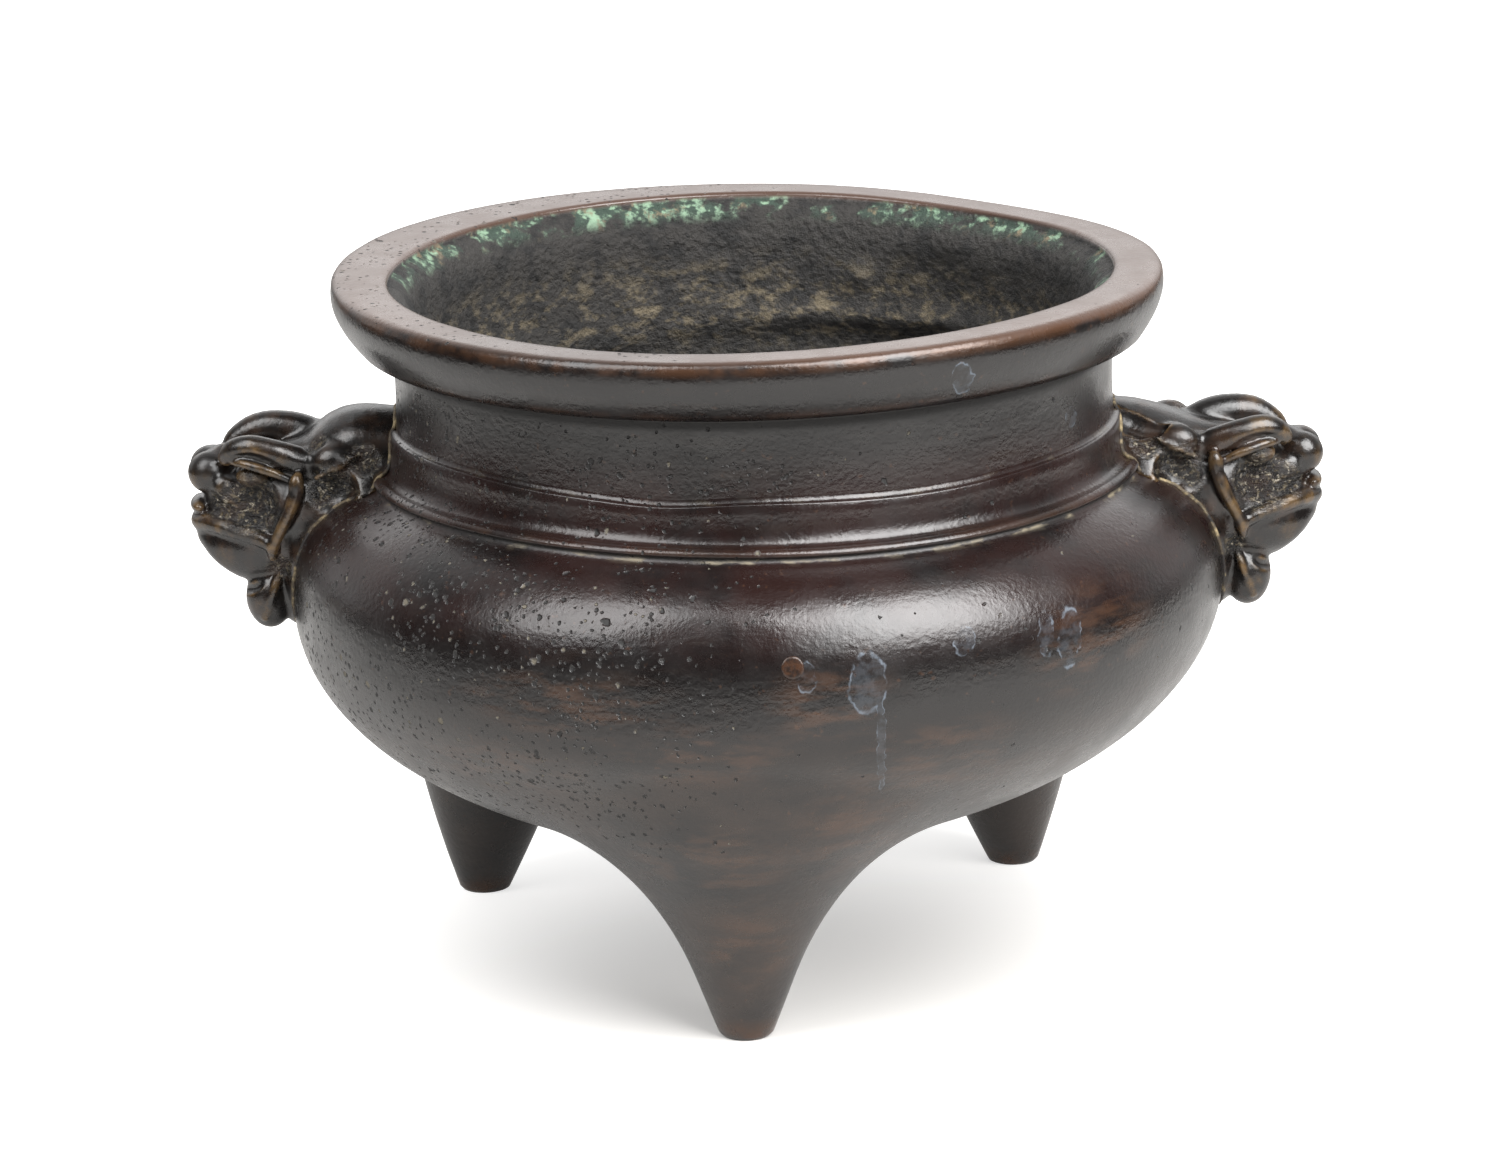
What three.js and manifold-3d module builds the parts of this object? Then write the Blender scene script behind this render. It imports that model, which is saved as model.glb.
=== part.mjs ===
// Cast bronze incense burner on three bag-shaped feet, with a lion mask at each side.
// Millimetres, +Z up. The origin is on the ground, on the vessel's axis. +X runs out
// through the right-hand mask, and -Y is the front, where one foot points forward.
import * as THREE from 'three';
import { mergeVertices } from 'three/addons/utils/BufferGeometryUtils.js';
import Module from 'manifold-3d';

const wasm = await Module();
wasm.setup();

// Heights, added up from the ground
const bellyHeight = 57; // widest part of the belly above the ground
const shoulderRise = 18.8; // from the widest part up to the collar's lower ridge
const collarBand = 6.8; // from the lower ridge up to the upper ridge
const neckHeight = 13.4; // from the upper ridge to the lip's lower edge
const lipHeight = 9.6; // from the lip's lower edge to its flat top

// Radii and reaches, added up from the neck
const neckRadius = 54.7;
const neckWaist = 0.5; // how far the neck draws in at half height
const collarStep = 0.9; // how far the upper ridge stands proud of the neck
const collarReach = 3.3; // from the upper ridge out to the lower ridge
const bellyReach = 16.6; // from the neck out to the belly's widest part
const lipReach = 7.8; // from the neck out to the lip's outer edge
const lipWidth = 7.6; // flat top of the lip, from its outer to its inner edge
const wall = 4;

// Details of the lip, collar and shoulder
const lipLean = 2.9; // how far the lip's side draws in at its lower edge
const lipRound = 1.7; // rounding of the outer edge
const mouthRound = 1.1; // rounding of the inner edge
const lipSwell = 0.5; // fullness of the lip's side
const undercutHeight = 1.6; // hollow that joins the lip to the neck
const throatDrop = 8; // height over which the mouth narrows to the neck's bore
const collarRound = 0.7; // rounding of the lower ridge
const grooveDepth = 0.5; // groove between the lower ridge and the shoulder
const grooveWidth = 1.4;
const shoulderFullness = 8.6; // pull of the shoulder's curve near the collar
const bellyFullness = 9.4; // pull of the same curve near the belly
const bellyDepth = 38.5; // from the widest part down to the underside
const bellyTilt = 0.0152; // slope of the underside, lower at the left

// Feet, which stand a little unevenly, as cast: the angle round the vessel's axis, how far
// inside the belly's widest part the sole stands, and how softly the foot melts into the belly
const frontFoot = { angle: THREE.MathUtils.degToRad(266), inset: 22.3, blend: 17.5 };
const rightFoot = { angle: THREE.MathUtils.degToRad(36.6), inset: 21.3, blend: 8 };
const leftFoot = { angle: THREE.MathUtils.degToRad(153.8), inset: 21.3, blend: 8 };
const feet = [rightFoot, leftFoot, frontFoot]; // in order of angle
const soleRadius = 3.9;
const soleFlatShare = 0.92; // part of the sole that is flat
const footSwell = 28; // most that the foot widens beyond its sole
const footSteepness = 2.35; // rise of the flank for each unit that it widens
const footLean = 0.1; // how far the foot's axis draws in for each unit of height
const footHollowHeight = 13; // bottom of the hollow inside each foot
const blendFade = 25; // height over which the feet melt into the belly

// Masks, given by the space they fill
const maskProud = 16; // tip of the nose beyond the belly's widest part
const maskRise = 1.2; // brow above the collar's upper ridge
const maskHeight = 33.4; // from the brow down to the tip of the beard
const maskHalfWidth = 14.6; // half the width of the root on the shoulder
const rootThickness = 2.6; // root plate, measured out from the shoulder
const beadWidth = 1.1;
const beadHeight = 1.2;

// Pins, plug and clearances
const rivetRadius = 1.7;
const rivetDepth = 6; // how far a pin enters the mask
const rivetHeadRadius = 3.6;
const rivetHeadHeight = 1.7;
const upperRivetDrop = 5.3; // below the collar's lower ridge
const rivetSpacing = 8.5; // from the upper pin down to the lower one
const plugRadius = 1.65;
const plugRise = 5.3; // above the belly's widest part
const plugAngle = THREE.MathUtils.degToRad(273.6);
const seatGap = 0.3; // between pieces that touch
const cutOverrun = 10; // cutting tools run past the material by this much

// Fineness of the curved surfaces
const columns = 48; // around the vessel
const chord = 3.4; // between points of a profile
const curveSteps = 2; // least on one curve of a profile
const bowlSteps = 6; // down the upper half of the bowl
const sideRows = 3; // down the belly's side, from its widest part to the feet's patches
const sideShare = 0.4; // share of the belly's depth that those rows cover
const edgeSteps = 7; // from the axis out to the side, between two feet
const outerRings = 10; // from a sole up to the belly's side
const innerRings = 5;
const ringSpread = 1.15; // above 1, the rings lie closer together near the sole
const searchSteps = 90;
const halvings = 30;
const barSides = 16;
const domeSides = { around: 14, over: 8 };
const largeMassSides = { around: 10, over: 6 };
const smallMassSides = { around: 8, over: 5 };
const largeMassShare = 0.3; // a mass longer than this share of the half width is large

// Joining and cutting
function solidOf(geometry) {
  geometry.deleteAttribute('normal');
  geometry.deleteAttribute('uv');
  const merged = mergeVertices(geometry);
  const index = merged.index.array;
  const triangles = [];
  for (let i = 0; i < index.length; i += 3) {
    const [a, b, c] = [index[i], index[i + 1], index[i + 2]];
    if (a !== b && b !== c && c !== a) triangles.push(a, b, c);
  }
  return new wasm.Manifold(new wasm.Mesh({
    numProp: 3,
    vertProperties: new Float32Array(merged.attributes.position.array),
    triVerts: new Uint32Array(triangles),
  }));
}

function geometryOf(solid) {
  const mesh = solid.getMesh();
  const geometry = new THREE.BufferGeometry();
  geometry.setAttribute('position', new THREE.BufferAttribute(mesh.vertProperties, 3));
  geometry.setIndex(new THREE.BufferAttribute(mesh.triVerts, 1));
  return geometry;
}

function joined(solids) {
  return solids.reduce((sum, solid) => sum.add(solid));
}

// Profiles, as radius and height

const lowerRidge = bellyHeight + shoulderRise;
const shoulderTop = lowerRidge - grooveWidth;
const upperRidge = lowerRidge + collarBand;
const lipFoot = upperRidge + neckHeight;
const neckTop = lipFoot - undercutHeight;
const rimHeight = lipFoot + lipHeight;
const ridgeRadius = neckRadius + collarStep;
const bandRadius = ridgeRadius + collarReach;
const bellyRadius = neckRadius + bellyReach;
const rimRadius = neckRadius + lipReach;
const mouthRadius = rimRadius - lipWidth;
const maskReach = bellyRadius + maskProud;
const maskTop = upperRidge + maskRise;
const maskBottom = maskTop - maskHeight;

// Outside of the shoulder, from the belly's widest part up to the collar
function shoulderPath() {
  const path = new THREE.Path();
  path.moveTo(bellyRadius, bellyHeight);
  path.bezierCurveTo(bellyRadius, bellyHeight + bellyFullness,
    bandRadius + shoulderFullness, shoulderTop - shoulderFullness / 3, bandRadius, shoulderTop);
  return path;
}

// Outside of the shoulder, collar, neck and lip
function outerPath() {
  const path = shoulderPath();
  path.quadraticCurveTo(bandRadius - grooveDepth, shoulderTop + grooveWidth / 3,
    bandRadius - grooveDepth, lowerRidge - collarRound);
  path.quadraticCurveTo(bandRadius + collarRound, lowerRidge - collarRound / 2,
    bandRadius - collarRound, lowerRidge + collarRound);
  path.quadraticCurveTo(ridgeRadius + collarReach / 3, lowerRidge + collarBand / 2,
    ridgeRadius, upperRidge - collarStep);
  path.quadraticCurveTo(ridgeRadius, upperRidge, neckRadius, upperRidge);
  path.quadraticCurveTo(neckRadius - neckWaist * 2, (upperRidge + neckTop) / 2,
    neckRadius, neckTop);
  path.quadraticCurveTo(neckRadius, lipFoot, rimRadius - lipLean, lipFoot);
  path.quadraticCurveTo(rimRadius + lipSwell, lipFoot + lipHeight / 2,
    rimRadius, rimHeight - lipRound);
  path.quadraticCurveTo(rimRadius, rimHeight, rimRadius - lipRound, rimHeight);
  return path;
}

// The same shoulder and collar with plain steps, which the masks are fitted to
function seatPath() {
  const path = shoulderPath();
  path.lineTo(bandRadius, lowerRidge);
  path.lineTo(ridgeRadius, upperRidge);
  path.lineTo(neckRadius, upperRidge + collarStep);
  path.lineTo(neckRadius, neckTop);
  return path;
}

// Inside of the mouth, neck and shoulder, from the flat of the lip down
function innerPath() {
  const boreRadius = neckRadius - neckWaist - wall;
  const boreFoot = upperRidge - collarBand / 2;
  const path = new THREE.Path();
  path.moveTo(mouthRadius + mouthRound, rimHeight);
  path.quadraticCurveTo(mouthRadius, rimHeight, mouthRadius, rimHeight - mouthRound);
  path.quadraticCurveTo(boreRadius, rimHeight - throatDrop / 3, boreRadius, rimHeight - throatDrop);
  path.lineTo(boreRadius, boreFoot);
  path.bezierCurveTo(boreRadius + shoulderFullness, boreFoot - shoulderFullness,
    bellyRadius - wall, bellyHeight + bellyFullness, bellyRadius - wall, bellyHeight);
  return path;
}

// Moves every point of a profile sideways by the same amount, out of the wall for a plus
function offsetProfile(points, distance) {
  return points.map((point, i) => {
    const before = points[Math.max(i - 1, 0)];
    const after = points[Math.min(i + 1, points.length - 1)];
    const along = new THREE.Vector2().subVectors(after, before).normalize();
    return new THREE.Vector2(point.x + along.y * distance, point.y - along.x * distance);
  });
}

// Points along a path, about a chord apart, with a few at least on each short curve
function pointsAlong(path) {
  return path.curves.flatMap((curve, i) => {
    const steps = curve.isLineCurve ? 1 : Math.max(curveSteps, Math.round(curve.getLength() / chord));
    const points = curve.getPoints(steps);
    return i === 0 ? points : points.slice(1);
  });
}

const outerProfile = pointsAlong(outerPath());
const seatProfile = pointsAlong(seatPath());
const innerProfile = pointsAlong(innerPath());

function turned(profile) {
  const geometry = new THREE.LatheGeometry(profile, columns);
  geometry.rotateX(Math.PI / 2);
  geometry.rotateZ(-Math.PI / 2);
  return solidOf(geometry);
}

// A solid that fills an outside profile and the upper half of the bowl below it
function outsideFilled(points) {
  const profile = [new THREE.Vector2(0, points.at(-1).y), ...points.toReversed()];
  for (let step = 1; step <= bowlSteps; step += 1) {
    const drop = (step / bowlSteps) * (bellyDepth / 2);
    const leastDrop = Math.max(drop - bellyTilt * bellyRadius, 0);
    const width = points[0].x * Math.sqrt(1 - (leastDrop / bellyDepth) ** 2);
    profile.push(new THREE.Vector2(width, bellyHeight - drop));
  }
  profile.push(new THREE.Vector2(0, profile.at(-1).y));
  return turned(profile.reverse());
}

// The body as the masks meet it, grown by a distance
function seatFilled(distance) {
  return outsideFilled(offsetProfile(seatProfile, distance));
}

// A solid that fills the cavity above the belly's lower half, shrunk by a distance
function cavityFilled(distance) {
  const points = offsetProfile(innerProfile, distance).reverse();
  const floor = new THREE.Vector2(points[0].x - wall, bellyHeight - bellyDepth / 2);
  const lid = new THREE.Vector2(0, points.at(-1).y);
  return turned([new THREE.Vector2(0, floor.y), floor, ...points, lid]);
}

// Belly and feet as one smooth skin

function smoothLower(a, b, blend) {
  if (blend <= 0) return Math.min(a, b);
  const share = THREE.MathUtils.clamp(0.5 + (0.5 * (b - a)) / blend, 0, 1);
  return b * (1 - share) + a * share - blend * share * (1 - share);
}

function footCentre(foot, height) {
  const distance = bellyRadius - foot.inset - footLean * height;
  return new THREE.Vector2(distance * Math.cos(foot.angle), distance * Math.sin(foot.angle));
}

// Below zero inside the skin, above zero outside. The belly is a half ellipsoid and
// each foot a cone whose flank steepens, and they melt into each other.
function skinValue(point, skin) {
  const drop = Math.max(bellyHeight + bellyTilt * point.x - point.z, 0);
  const bowl = Math.hypot(Math.hypot(point.x, point.y) / skin.radius, drop / skin.depth);
  let value = (bowl - 1) * skin.depth;
  const fade = THREE.MathUtils.smoothstep(bellyHeight - point.z, 0, blendFade);
  const flankShare = footSteepness / Math.hypot(1, footSteepness);
  for (const foot of feet) {
    const centre = footCentre(foot, point.z);
    const rise = Math.max(point.z - skin.footHeight, 0);
    const swell = footSwell * (1 - Math.exp(-rise / (footSteepness * footSwell)));
    const away = Math.hypot(point.x - centre.x, point.y - centre.y);
    const flank = (away - soleRadius - swell) * flankShare;
    value = smoothLower(value, flank, foot.blend * fade);
  }
  return Math.max(value, skin.footHeight - point.z);
}

// Goes from inside the skin along a direction to the first place where it leaves it
function skinHit(start, direction, skin) {
  const reach = bellyRadius * 2;
  const point = new THREE.Vector3();
  const at = (distance) => point.copy(direction).multiplyScalar(distance).add(start);
  let near = 0;
  let far = reach;
  for (let step = 1; step <= searchSteps; step += 1) {
    far = (reach * step) / searchSteps;
    if (skinValue(at(far), skin) > 0) break;
    near = far;
  }
  for (let turn = 0; turn < halvings; turn += 1) {
    const middle = (near + far) / 2;
    if (skinValue(at(middle), skin) > 0) far = middle;
    else near = middle;
  }
  return at(far).clone();
}

function onCircle(column, radius, height) {
  const angle = (column / columns) * Math.PI * 2;
  return new THREE.Vector3(radius * Math.cos(angle), radius * Math.sin(angle), height);
}

// The column halfway between a foot and the next one round
function columnBetween(foot, next) {
  const turn = next.angle > foot.angle ? 0 : Math.PI * 2;
  const middle = (foot.angle + next.angle + turn) / 2;
  return Math.round((middle / (Math.PI * 2)) * columns);
}

// Rows round the belly's side, from its widest part down to where the feet's patches start
function sideOf(skin) {
  const rows = [];
  for (let row = 0; row <= sideRows; row += 1) {
    const height = bellyHeight - (row / sideRows) * sideShare * skin.depth;
    const middle = new THREE.Vector3(0, 0, height);
    const points = [];
    for (let column = 0; column < columns; column += 1) {
      const widest = onCircle(column, skin.radius, height);
      const outward = onCircle(column, 1, 0);
      points.push(row === 0 ? widest : skinHit(middle, outward, skin));
    }
    rows.push(points);
  }
  return rows;
}

// Points on the underside, from the axis out to a corner between two feet
function spokeTo(corner, skin) {
  const down = new THREE.Vector3(0, 0, -1);
  const points = [];
  for (let step = 0; step < edgeSteps; step += 1) {
    const share = step / edgeSteps;
    const top = new THREE.Vector3(corner.x * share, corner.y * share, corner.z);
    points.push(skinHit(top, down, skin));
  }
  points.push(corner);
  return points;
}

// Rings from a foot's sole out to the edge of its patch: two spokes and a stretch of side
function footRings(foot, side, skin) {
  const border = [
    ...spokeTo(side[0], skin),
    ...side.slice(1, -1),
    ...spokeTo(side.at(-1), skin).reverse().slice(0, -1),
  ];
  const centre = footCentre(foot, skin.footHeight);
  const heart = new THREE.Vector3(centre.x, centre.y, bellyHeight - skin.depth / 3);
  const sole = new THREE.Vector3(centre.x, centre.y, skin.footHeight);
  const starts = border.map((edge) => {
    const away = new THREE.Vector2(edge.x - sole.x, edge.y - sole.y);
    away.setLength(soleRadius * soleFlatShare);
    return new THREE.Vector3(sole.x + away.x, sole.y + away.y, sole.z);
  });
  const rings = [border.map(() => sole), starts];
  for (let ring = 1; ring < skin.rings; ring += 1) {
    const share = (ring / skin.rings) ** ringSpread;
    rings.push(border.map((edge, i) => {
      const from = new THREE.Vector3().subVectors(starts[i], heart).normalize();
      const to = new THREE.Vector3().subVectors(edge, heart).normalize();
      const turn = new THREE.Quaternion().setFromUnitVectors(from, to);
      const part = new THREE.Quaternion().slerp(turn, share);
      return skinHit(heart, from.applyQuaternion(part), skin);
    }));
  }
  rings.push(border);
  return rings;
}

// Adds the quads between neighbouring rows of points that run round in a loop
function stitch(corners, rows) {
  for (let row = 0; row + 1 < rows.length; row += 1) {
    const [lower, upper] = [rows[row], rows[row + 1]];
    for (let i = 0; i < lower.length; i += 1) {
      const next = (i + 1) % lower.length;
      corners.push(lower[i], lower[next], upper[next]);
      corners.push(lower[i], upper[next], upper[i]);
    }
  }
}

// The belly's lower half with its feet. The cavity's faces run the other way round.
function stitchBelly(corners, skin, inside) {
  const rows = sideOf(skin);
  feet.forEach((foot, i) => {
    const last = columnBetween(foot, feet[(i + 1) % feet.length]);
    let first = columnBetween(feet.at(i - 1), foot);
    if (first > last) first -= columns;
    const side = [];
    for (let column = first; column <= last; column += 1) {
      side.push(rows.at(-1).at(column % columns));
    }
    const rings = footRings(foot, side, skin);
    stitch(corners, inside ? rings.reverse() : rings);
  });
  stitch(corners, inside ? rows : rows.reverse());
}

// The whole casting: belly and feet, shoulder, collar, neck, lip and the cavity
function vesselBody() {
  const corners = [];
  const outerSkin = { radius: bellyRadius, depth: bellyDepth, footHeight: 0, rings: outerRings };
  const innerSkin = {
    radius: bellyRadius - wall,
    depth: bellyDepth - wall,
    footHeight: footHollowHeight,
    rings: innerRings,
  };
  stitchBelly(corners, outerSkin, false);
  const rows = [...outerProfile, ...innerProfile].map((point) => {
    const row = [];
    for (let column = 0; column < columns; column += 1) {
      row.push(onCircle(column, point.x, point.y));
    }
    return row;
  });
  stitch(corners, rows);
  stitchBelly(corners, innerSkin, true);
  const geometry = new THREE.BufferGeometry().setFromPoints(corners);
  return solidOf(geometry);
}

// How far in from a place on the outside a line along the slope meets the cavity
function thicknessAt(place, outward) {
  const across = new THREE.Vector2(-outward.y, outward.x);
  for (let i = 0; i + 1 < innerProfile.length; i += 1) {
    const from = innerProfile[i].clone().sub(place);
    const to = innerProfile[i + 1].clone().sub(place);
    const share = from.dot(across) / (from.dot(across) - to.dot(across));
    const met = from.lerp(to, share);
    if (share >= 0 && share <= 1 && met.dot(outward) < 0) return -met.dot(outward);
  }
  return wall;
}

// A place on the shoulder's outside at a height, straight out along +X, with its slope
function shoulderAt(height) {
  const i = outerProfile.findIndex((point) => point.y > height);
  const [low, high] = [outerProfile[i - 1], outerProfile[i]];
  const along = new THREE.Vector2().subVectors(high, low).normalize();
  const place = low.clone().lerp(high, (height - low.y) / (high.y - low.y));
  const outward = new THREE.Vector2(along.y, -along.x);
  return {
    place: new THREE.Vector3(place.x, 0, place.y),
    outward: new THREE.Vector3(outward.x, 0, outward.y),
    thickness: thicknessAt(place, outward),
  };
}

// A round bar along a slope's outward line, from one distance to another past its place,
// turned round the vessel's axis
function barAt({ place, outward }, radius, from, to, angle = 0) {
  const geometry = new THREE.CylinderGeometry(radius, radius, to - from, barSides);
  geometry.translate(0, (from + to) / 2, 0);
  const turn = new THREE.Quaternion().setFromUnitVectors(new THREE.Vector3(0, 1, 0), outward);
  geometry.applyQuaternion(turn);
  geometry.translate(place.x, place.y, place.z);
  geometry.rotateZ(angle);
  return solidOf(geometry);
}

// Mask

// Half outline of the root on the shoulder: shares of the half width and of the height,
// from the beard up to the saddle
const rootShares = [
  [0.2, 0.02], [0.46, 0.07], [0.68, 0.17], [0.86, 0.3], [0.97, 0.45], [1, 0.6],
  [0.95, 0.75], [0.83, 0.88], [0.68, 0.98], [0.48, 1.05], [0.2, 1.09],
];

function rootOutline(grow) {
  const right = rootShares.map(([across, up]) => (
    new THREE.Vector2(across * maskHalfWidth, maskBottom + up * maskHeight)
  ));
  const left = right.map((point) => new THREE.Vector2(-point.x, point.y)).reverse();
  const loop = [...right, ...left];
  return loop.map((point, i) => {
    const before = loop.at(i - 1);
    const after = loop[(i + 1) % loop.length];
    const along = new THREE.Vector2().subVectors(after, before).normalize();
    return new THREE.Vector2(point.x + along.y * grow, point.y - along.x * grow);
  });
}

// The root's outline, run out along +X from inside the neck to past the nose
function rootBlock(grow) {
  const start = neckRadius - wall - cutOverrun;
  const depth = maskReach + cutOverrun - start;
  const shape = new THREE.Shape(rootOutline(grow));
  const geometry = new THREE.ExtrudeGeometry(shape, { depth, bevelEnabled: false });
  const toSide = new THREE.Matrix4().makeBasis(
    new THREE.Vector3(0, 1, 0), new THREE.Vector3(0, 0, 1), new THREE.Vector3(1, 0, 0),
  );
  geometry.applyMatrix4(toSide);
  geometry.translate(start, 0, 0);
  return solidOf(geometry);
}

// Rounded masses of the lion's head. Places run outward from the neck, sideways and up,
// as shares of the mask's depth, half width and height. Sizes are shares of the half width.
// A mass with a sideways share stands on both sides.
const massShares = [
  { name: 'saddle', at: [0.24, 0, 0.85], size: [0.66, 0.6, 0.31] },
  { name: 'skull', at: [0.5, 0, 0.7], size: [0.74, 0.74, 0.67] },
  { name: 'muzzle', at: [0.74, 0, 0.62], size: [0.5, 0.5, 0.4] },
  { name: 'brow root', at: [0.46, 0.42, 0.86], size: [0.36, 0.22, 0.2] },
  { name: 'brow', at: [0.64, 0.42, 0.9], size: [0.31, 0.2, 0.21] },
  { name: 'brow hook', at: [0.76, 0.38, 0.84], size: [0.13, 0.18, 0.2] },
  { name: 'nose bridge', at: [0.83, 0, 0.78], size: [0.25, 0.17, 0.2] },
  { name: 'nostril', at: [0.92, 0.19, 0.71], size: [0.17, 0.17, 0.2] },
  { name: 'teeth', at: [0.93, 0, 0.575], size: [0.155, 0.27, 0.1] },
  { name: 'lower lip', at: [0.875, 0, 0.475], size: [0.22, 0.35, 0.14] },
  { name: 'jaw', at: [0.7, 0, 0.38], size: [0.52, 0.46, 0.34] },
  { name: 'cheek', at: [0.58, 0.56, 0.56], size: [0.3, 0.25, 0.34] },
  { name: 'mane', at: [0.5, 0.68, 0.56], size: [0.13, 0.18, 0.44] },
  { name: 'beard', at: [0.6, 0.32, 0.135], size: [0.27, 0.26, 0.32] },
];

function massAt(mass, side) {
  const depth = maskReach - neckRadius;
  const sides = mass.size[0] > largeMassShare ? largeMassSides : smallMassSides;
  const geometry = new THREE.SphereGeometry(maskHalfWidth, sides.around, sides.over);
  geometry.rotateX(Math.PI / 2);
  geometry.scale(...mass.size);
  geometry.translate(
    neckRadius + mass.at[0] * depth,
    side * mass.at[1] * maskHalfWidth,
    maskBottom + mass.at[2] * maskHeight,
  );
  return solidOf(geometry);
}

const sideAngles = { right: 0, left: Math.PI };
const rivetPlaces = {
  upper: shoulderAt(lowerRidge - upperRivetDrop),
  lower: shoulderAt(lowerRidge - upperRivetDrop - rivetSpacing),
};

// The right-hand mask: root plate and masses, cut back to the shoulder, the bead's seat
// and the pins' blind holes
function maskSolid() {
  const masses = massShares.flatMap((mass) => (
    mass.at[1] > 0 ? [massAt(mass, 1), massAt(mass, -1)] : [massAt(mass, 1)]
  ));
  const root = rootBlock(0).intersect(seatFilled(rootThickness));
  const beadSeat = rootBlock(cutOverrun)
    .subtract(rootBlock(-seatGap))
    .intersect(seatFilled(beadHeight + seatGap * 2));
  let mask = joined([root, ...masses]);
  mask = mask.subtract(seatFilled(seatGap)).subtract(beadSeat);
  for (const place of Object.values(rivetPlaces)) {
    mask = mask.subtract(barAt(place, rivetRadius + seatGap, -wall, rivetDepth));
  }
  return mask;
}

// The bead that fills the seam round the root
function beadSolid() {
  const ring = rootBlock(beadWidth).subtract(rootBlock(0));
  return ring.intersect(seatFilled(beadHeight + seatGap)).subtract(seatFilled(seatGap));
}

// A pin from the mask through the wall, with its head beaten flat in the cavity
function rivetSolid(at) {
  const { place, outward, thickness } = at;
  const seat = place.clone().addScaledVector(outward, -thickness);
  const shankEnd = -thickness - rivetHeadHeight / 2;
  const shank = barAt(at, rivetRadius, shankEnd, rivetDepth - seatGap);
  const dome = new THREE.SphereGeometry(rivetHeadRadius, domeSides.around, domeSides.over);
  dome.scale(1, (rivetHeadHeight + seatGap) / rivetHeadRadius, 1);
  const turn = new THREE.Quaternion().setFromUnitVectors(new THREE.Vector3(0, 1, 0), outward);
  dome.applyQuaternion(turn);
  dome.translate(seat.x, seat.y, seat.z);
  return solidOf(dome).intersect(cavityFilled(seatGap)).add(shank);
}

const plugPlace = shoulderAt(bellyHeight + plugRise);

function plugBar(radius) {
  return barAt(plugPlace, radius, -wall - cutOverrun, cutOverrun, plugAngle);
}

// A short round plug, flush with the wall inside and outside
function plugSolid() {
  return plugBar(plugRadius).intersect(outsideFilled(outerProfile)).subtract(cavityFilled(0));
}

function vesselSolid() {
  let vessel = vesselBody().subtract(plugBar(plugRadius + seatGap));
  for (const place of Object.values(rivetPlaces)) {
    for (const angle of Object.values(sideAngles)) {
      const radius = rivetRadius + seatGap;
      vessel = vessel.subtract(barAt(place, radius, -wall - cutOverrun, cutOverrun, angle));
    }
  }
  return vessel;
}

// Finishes
const darkBronze = { color: 0x2b2421, roughness: 0.28, metalness: 0.7 };
const wornBronze = { color: 0x4a3a2c, roughness: 0.35, metalness: 0.75 };
const tanSolder = { color: 0x8d7a60, roughness: 0.7, metalness: 0.3 };
const pinBronze = { color: 0x6a5638, roughness: 0.5, metalness: 0.8 };
const redBronze = { color: 0x4b2d22, roughness: 0.4, metalness: 0.7 };

function piece(name, solid, finish) {
  const mesh = new THREE.Mesh(geometryOf(solid), new THREE.MeshStandardMaterial(finish));
  mesh.name = name;
  return mesh;
}

const censer = new THREE.Group();
censer.add(piece('vessel', vesselSolid(), darkBronze));
censer.add(piece('belly_plug', plugSolid(), redBronze));

const mask = maskSolid();
const bead = beadSolid();
const rivets = { upper: rivetSolid(rivetPlaces.upper), lower: rivetSolid(rivetPlaces.lower) };
for (const [side, angle] of Object.entries(sideAngles)) {
  const handle = new THREE.Group();
  handle.rotation.z = angle;
  handle.add(piece(`${side}_mask_handle`, mask, wornBronze));
  handle.add(piece(`${side}_handle_solder`, bead, tanSolder));
  for (const [level, rivet] of Object.entries(rivets)) {
    handle.add(piece(`${side}_${level}_rivet`, rivet, pinBronze));
  }
  censer.add(handle);
}

export default censer;
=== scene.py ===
import math
from functools import partial
from types import SimpleNamespace

import bpy
import numpy as np
from mathutils import Matrix, Vector


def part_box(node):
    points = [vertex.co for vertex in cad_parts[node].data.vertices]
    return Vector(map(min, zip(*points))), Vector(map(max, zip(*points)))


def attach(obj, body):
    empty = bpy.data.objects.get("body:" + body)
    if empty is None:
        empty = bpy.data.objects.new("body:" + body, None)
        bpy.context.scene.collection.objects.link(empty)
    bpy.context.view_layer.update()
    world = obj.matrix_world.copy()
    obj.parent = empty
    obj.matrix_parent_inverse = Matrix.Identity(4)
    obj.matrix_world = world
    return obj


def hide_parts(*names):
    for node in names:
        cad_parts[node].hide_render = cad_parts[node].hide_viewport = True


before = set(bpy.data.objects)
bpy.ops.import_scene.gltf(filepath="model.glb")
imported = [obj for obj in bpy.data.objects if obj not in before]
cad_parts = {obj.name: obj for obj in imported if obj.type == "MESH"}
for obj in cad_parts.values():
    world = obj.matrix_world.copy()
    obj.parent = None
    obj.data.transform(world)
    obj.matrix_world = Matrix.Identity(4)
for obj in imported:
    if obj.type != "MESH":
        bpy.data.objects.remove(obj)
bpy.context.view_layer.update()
mm = 0.001
scene = bpy.context.scene
scene.view_settings.view_transform = "Standard"
smoothly = {"interpolation_type": "SMOOTHSTEP"}
print("frame loaded")


# Small helpers

def linearColour(hexText):
    channels = [int(hexText[i:i + 2], 16) / 255 for i in (1, 3, 5)]
    return [c / 12.92 if c <= 0.04045 else ((c + 0.055) / 1.055) ** 2.4 for c in channels] + [1.0]


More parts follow.
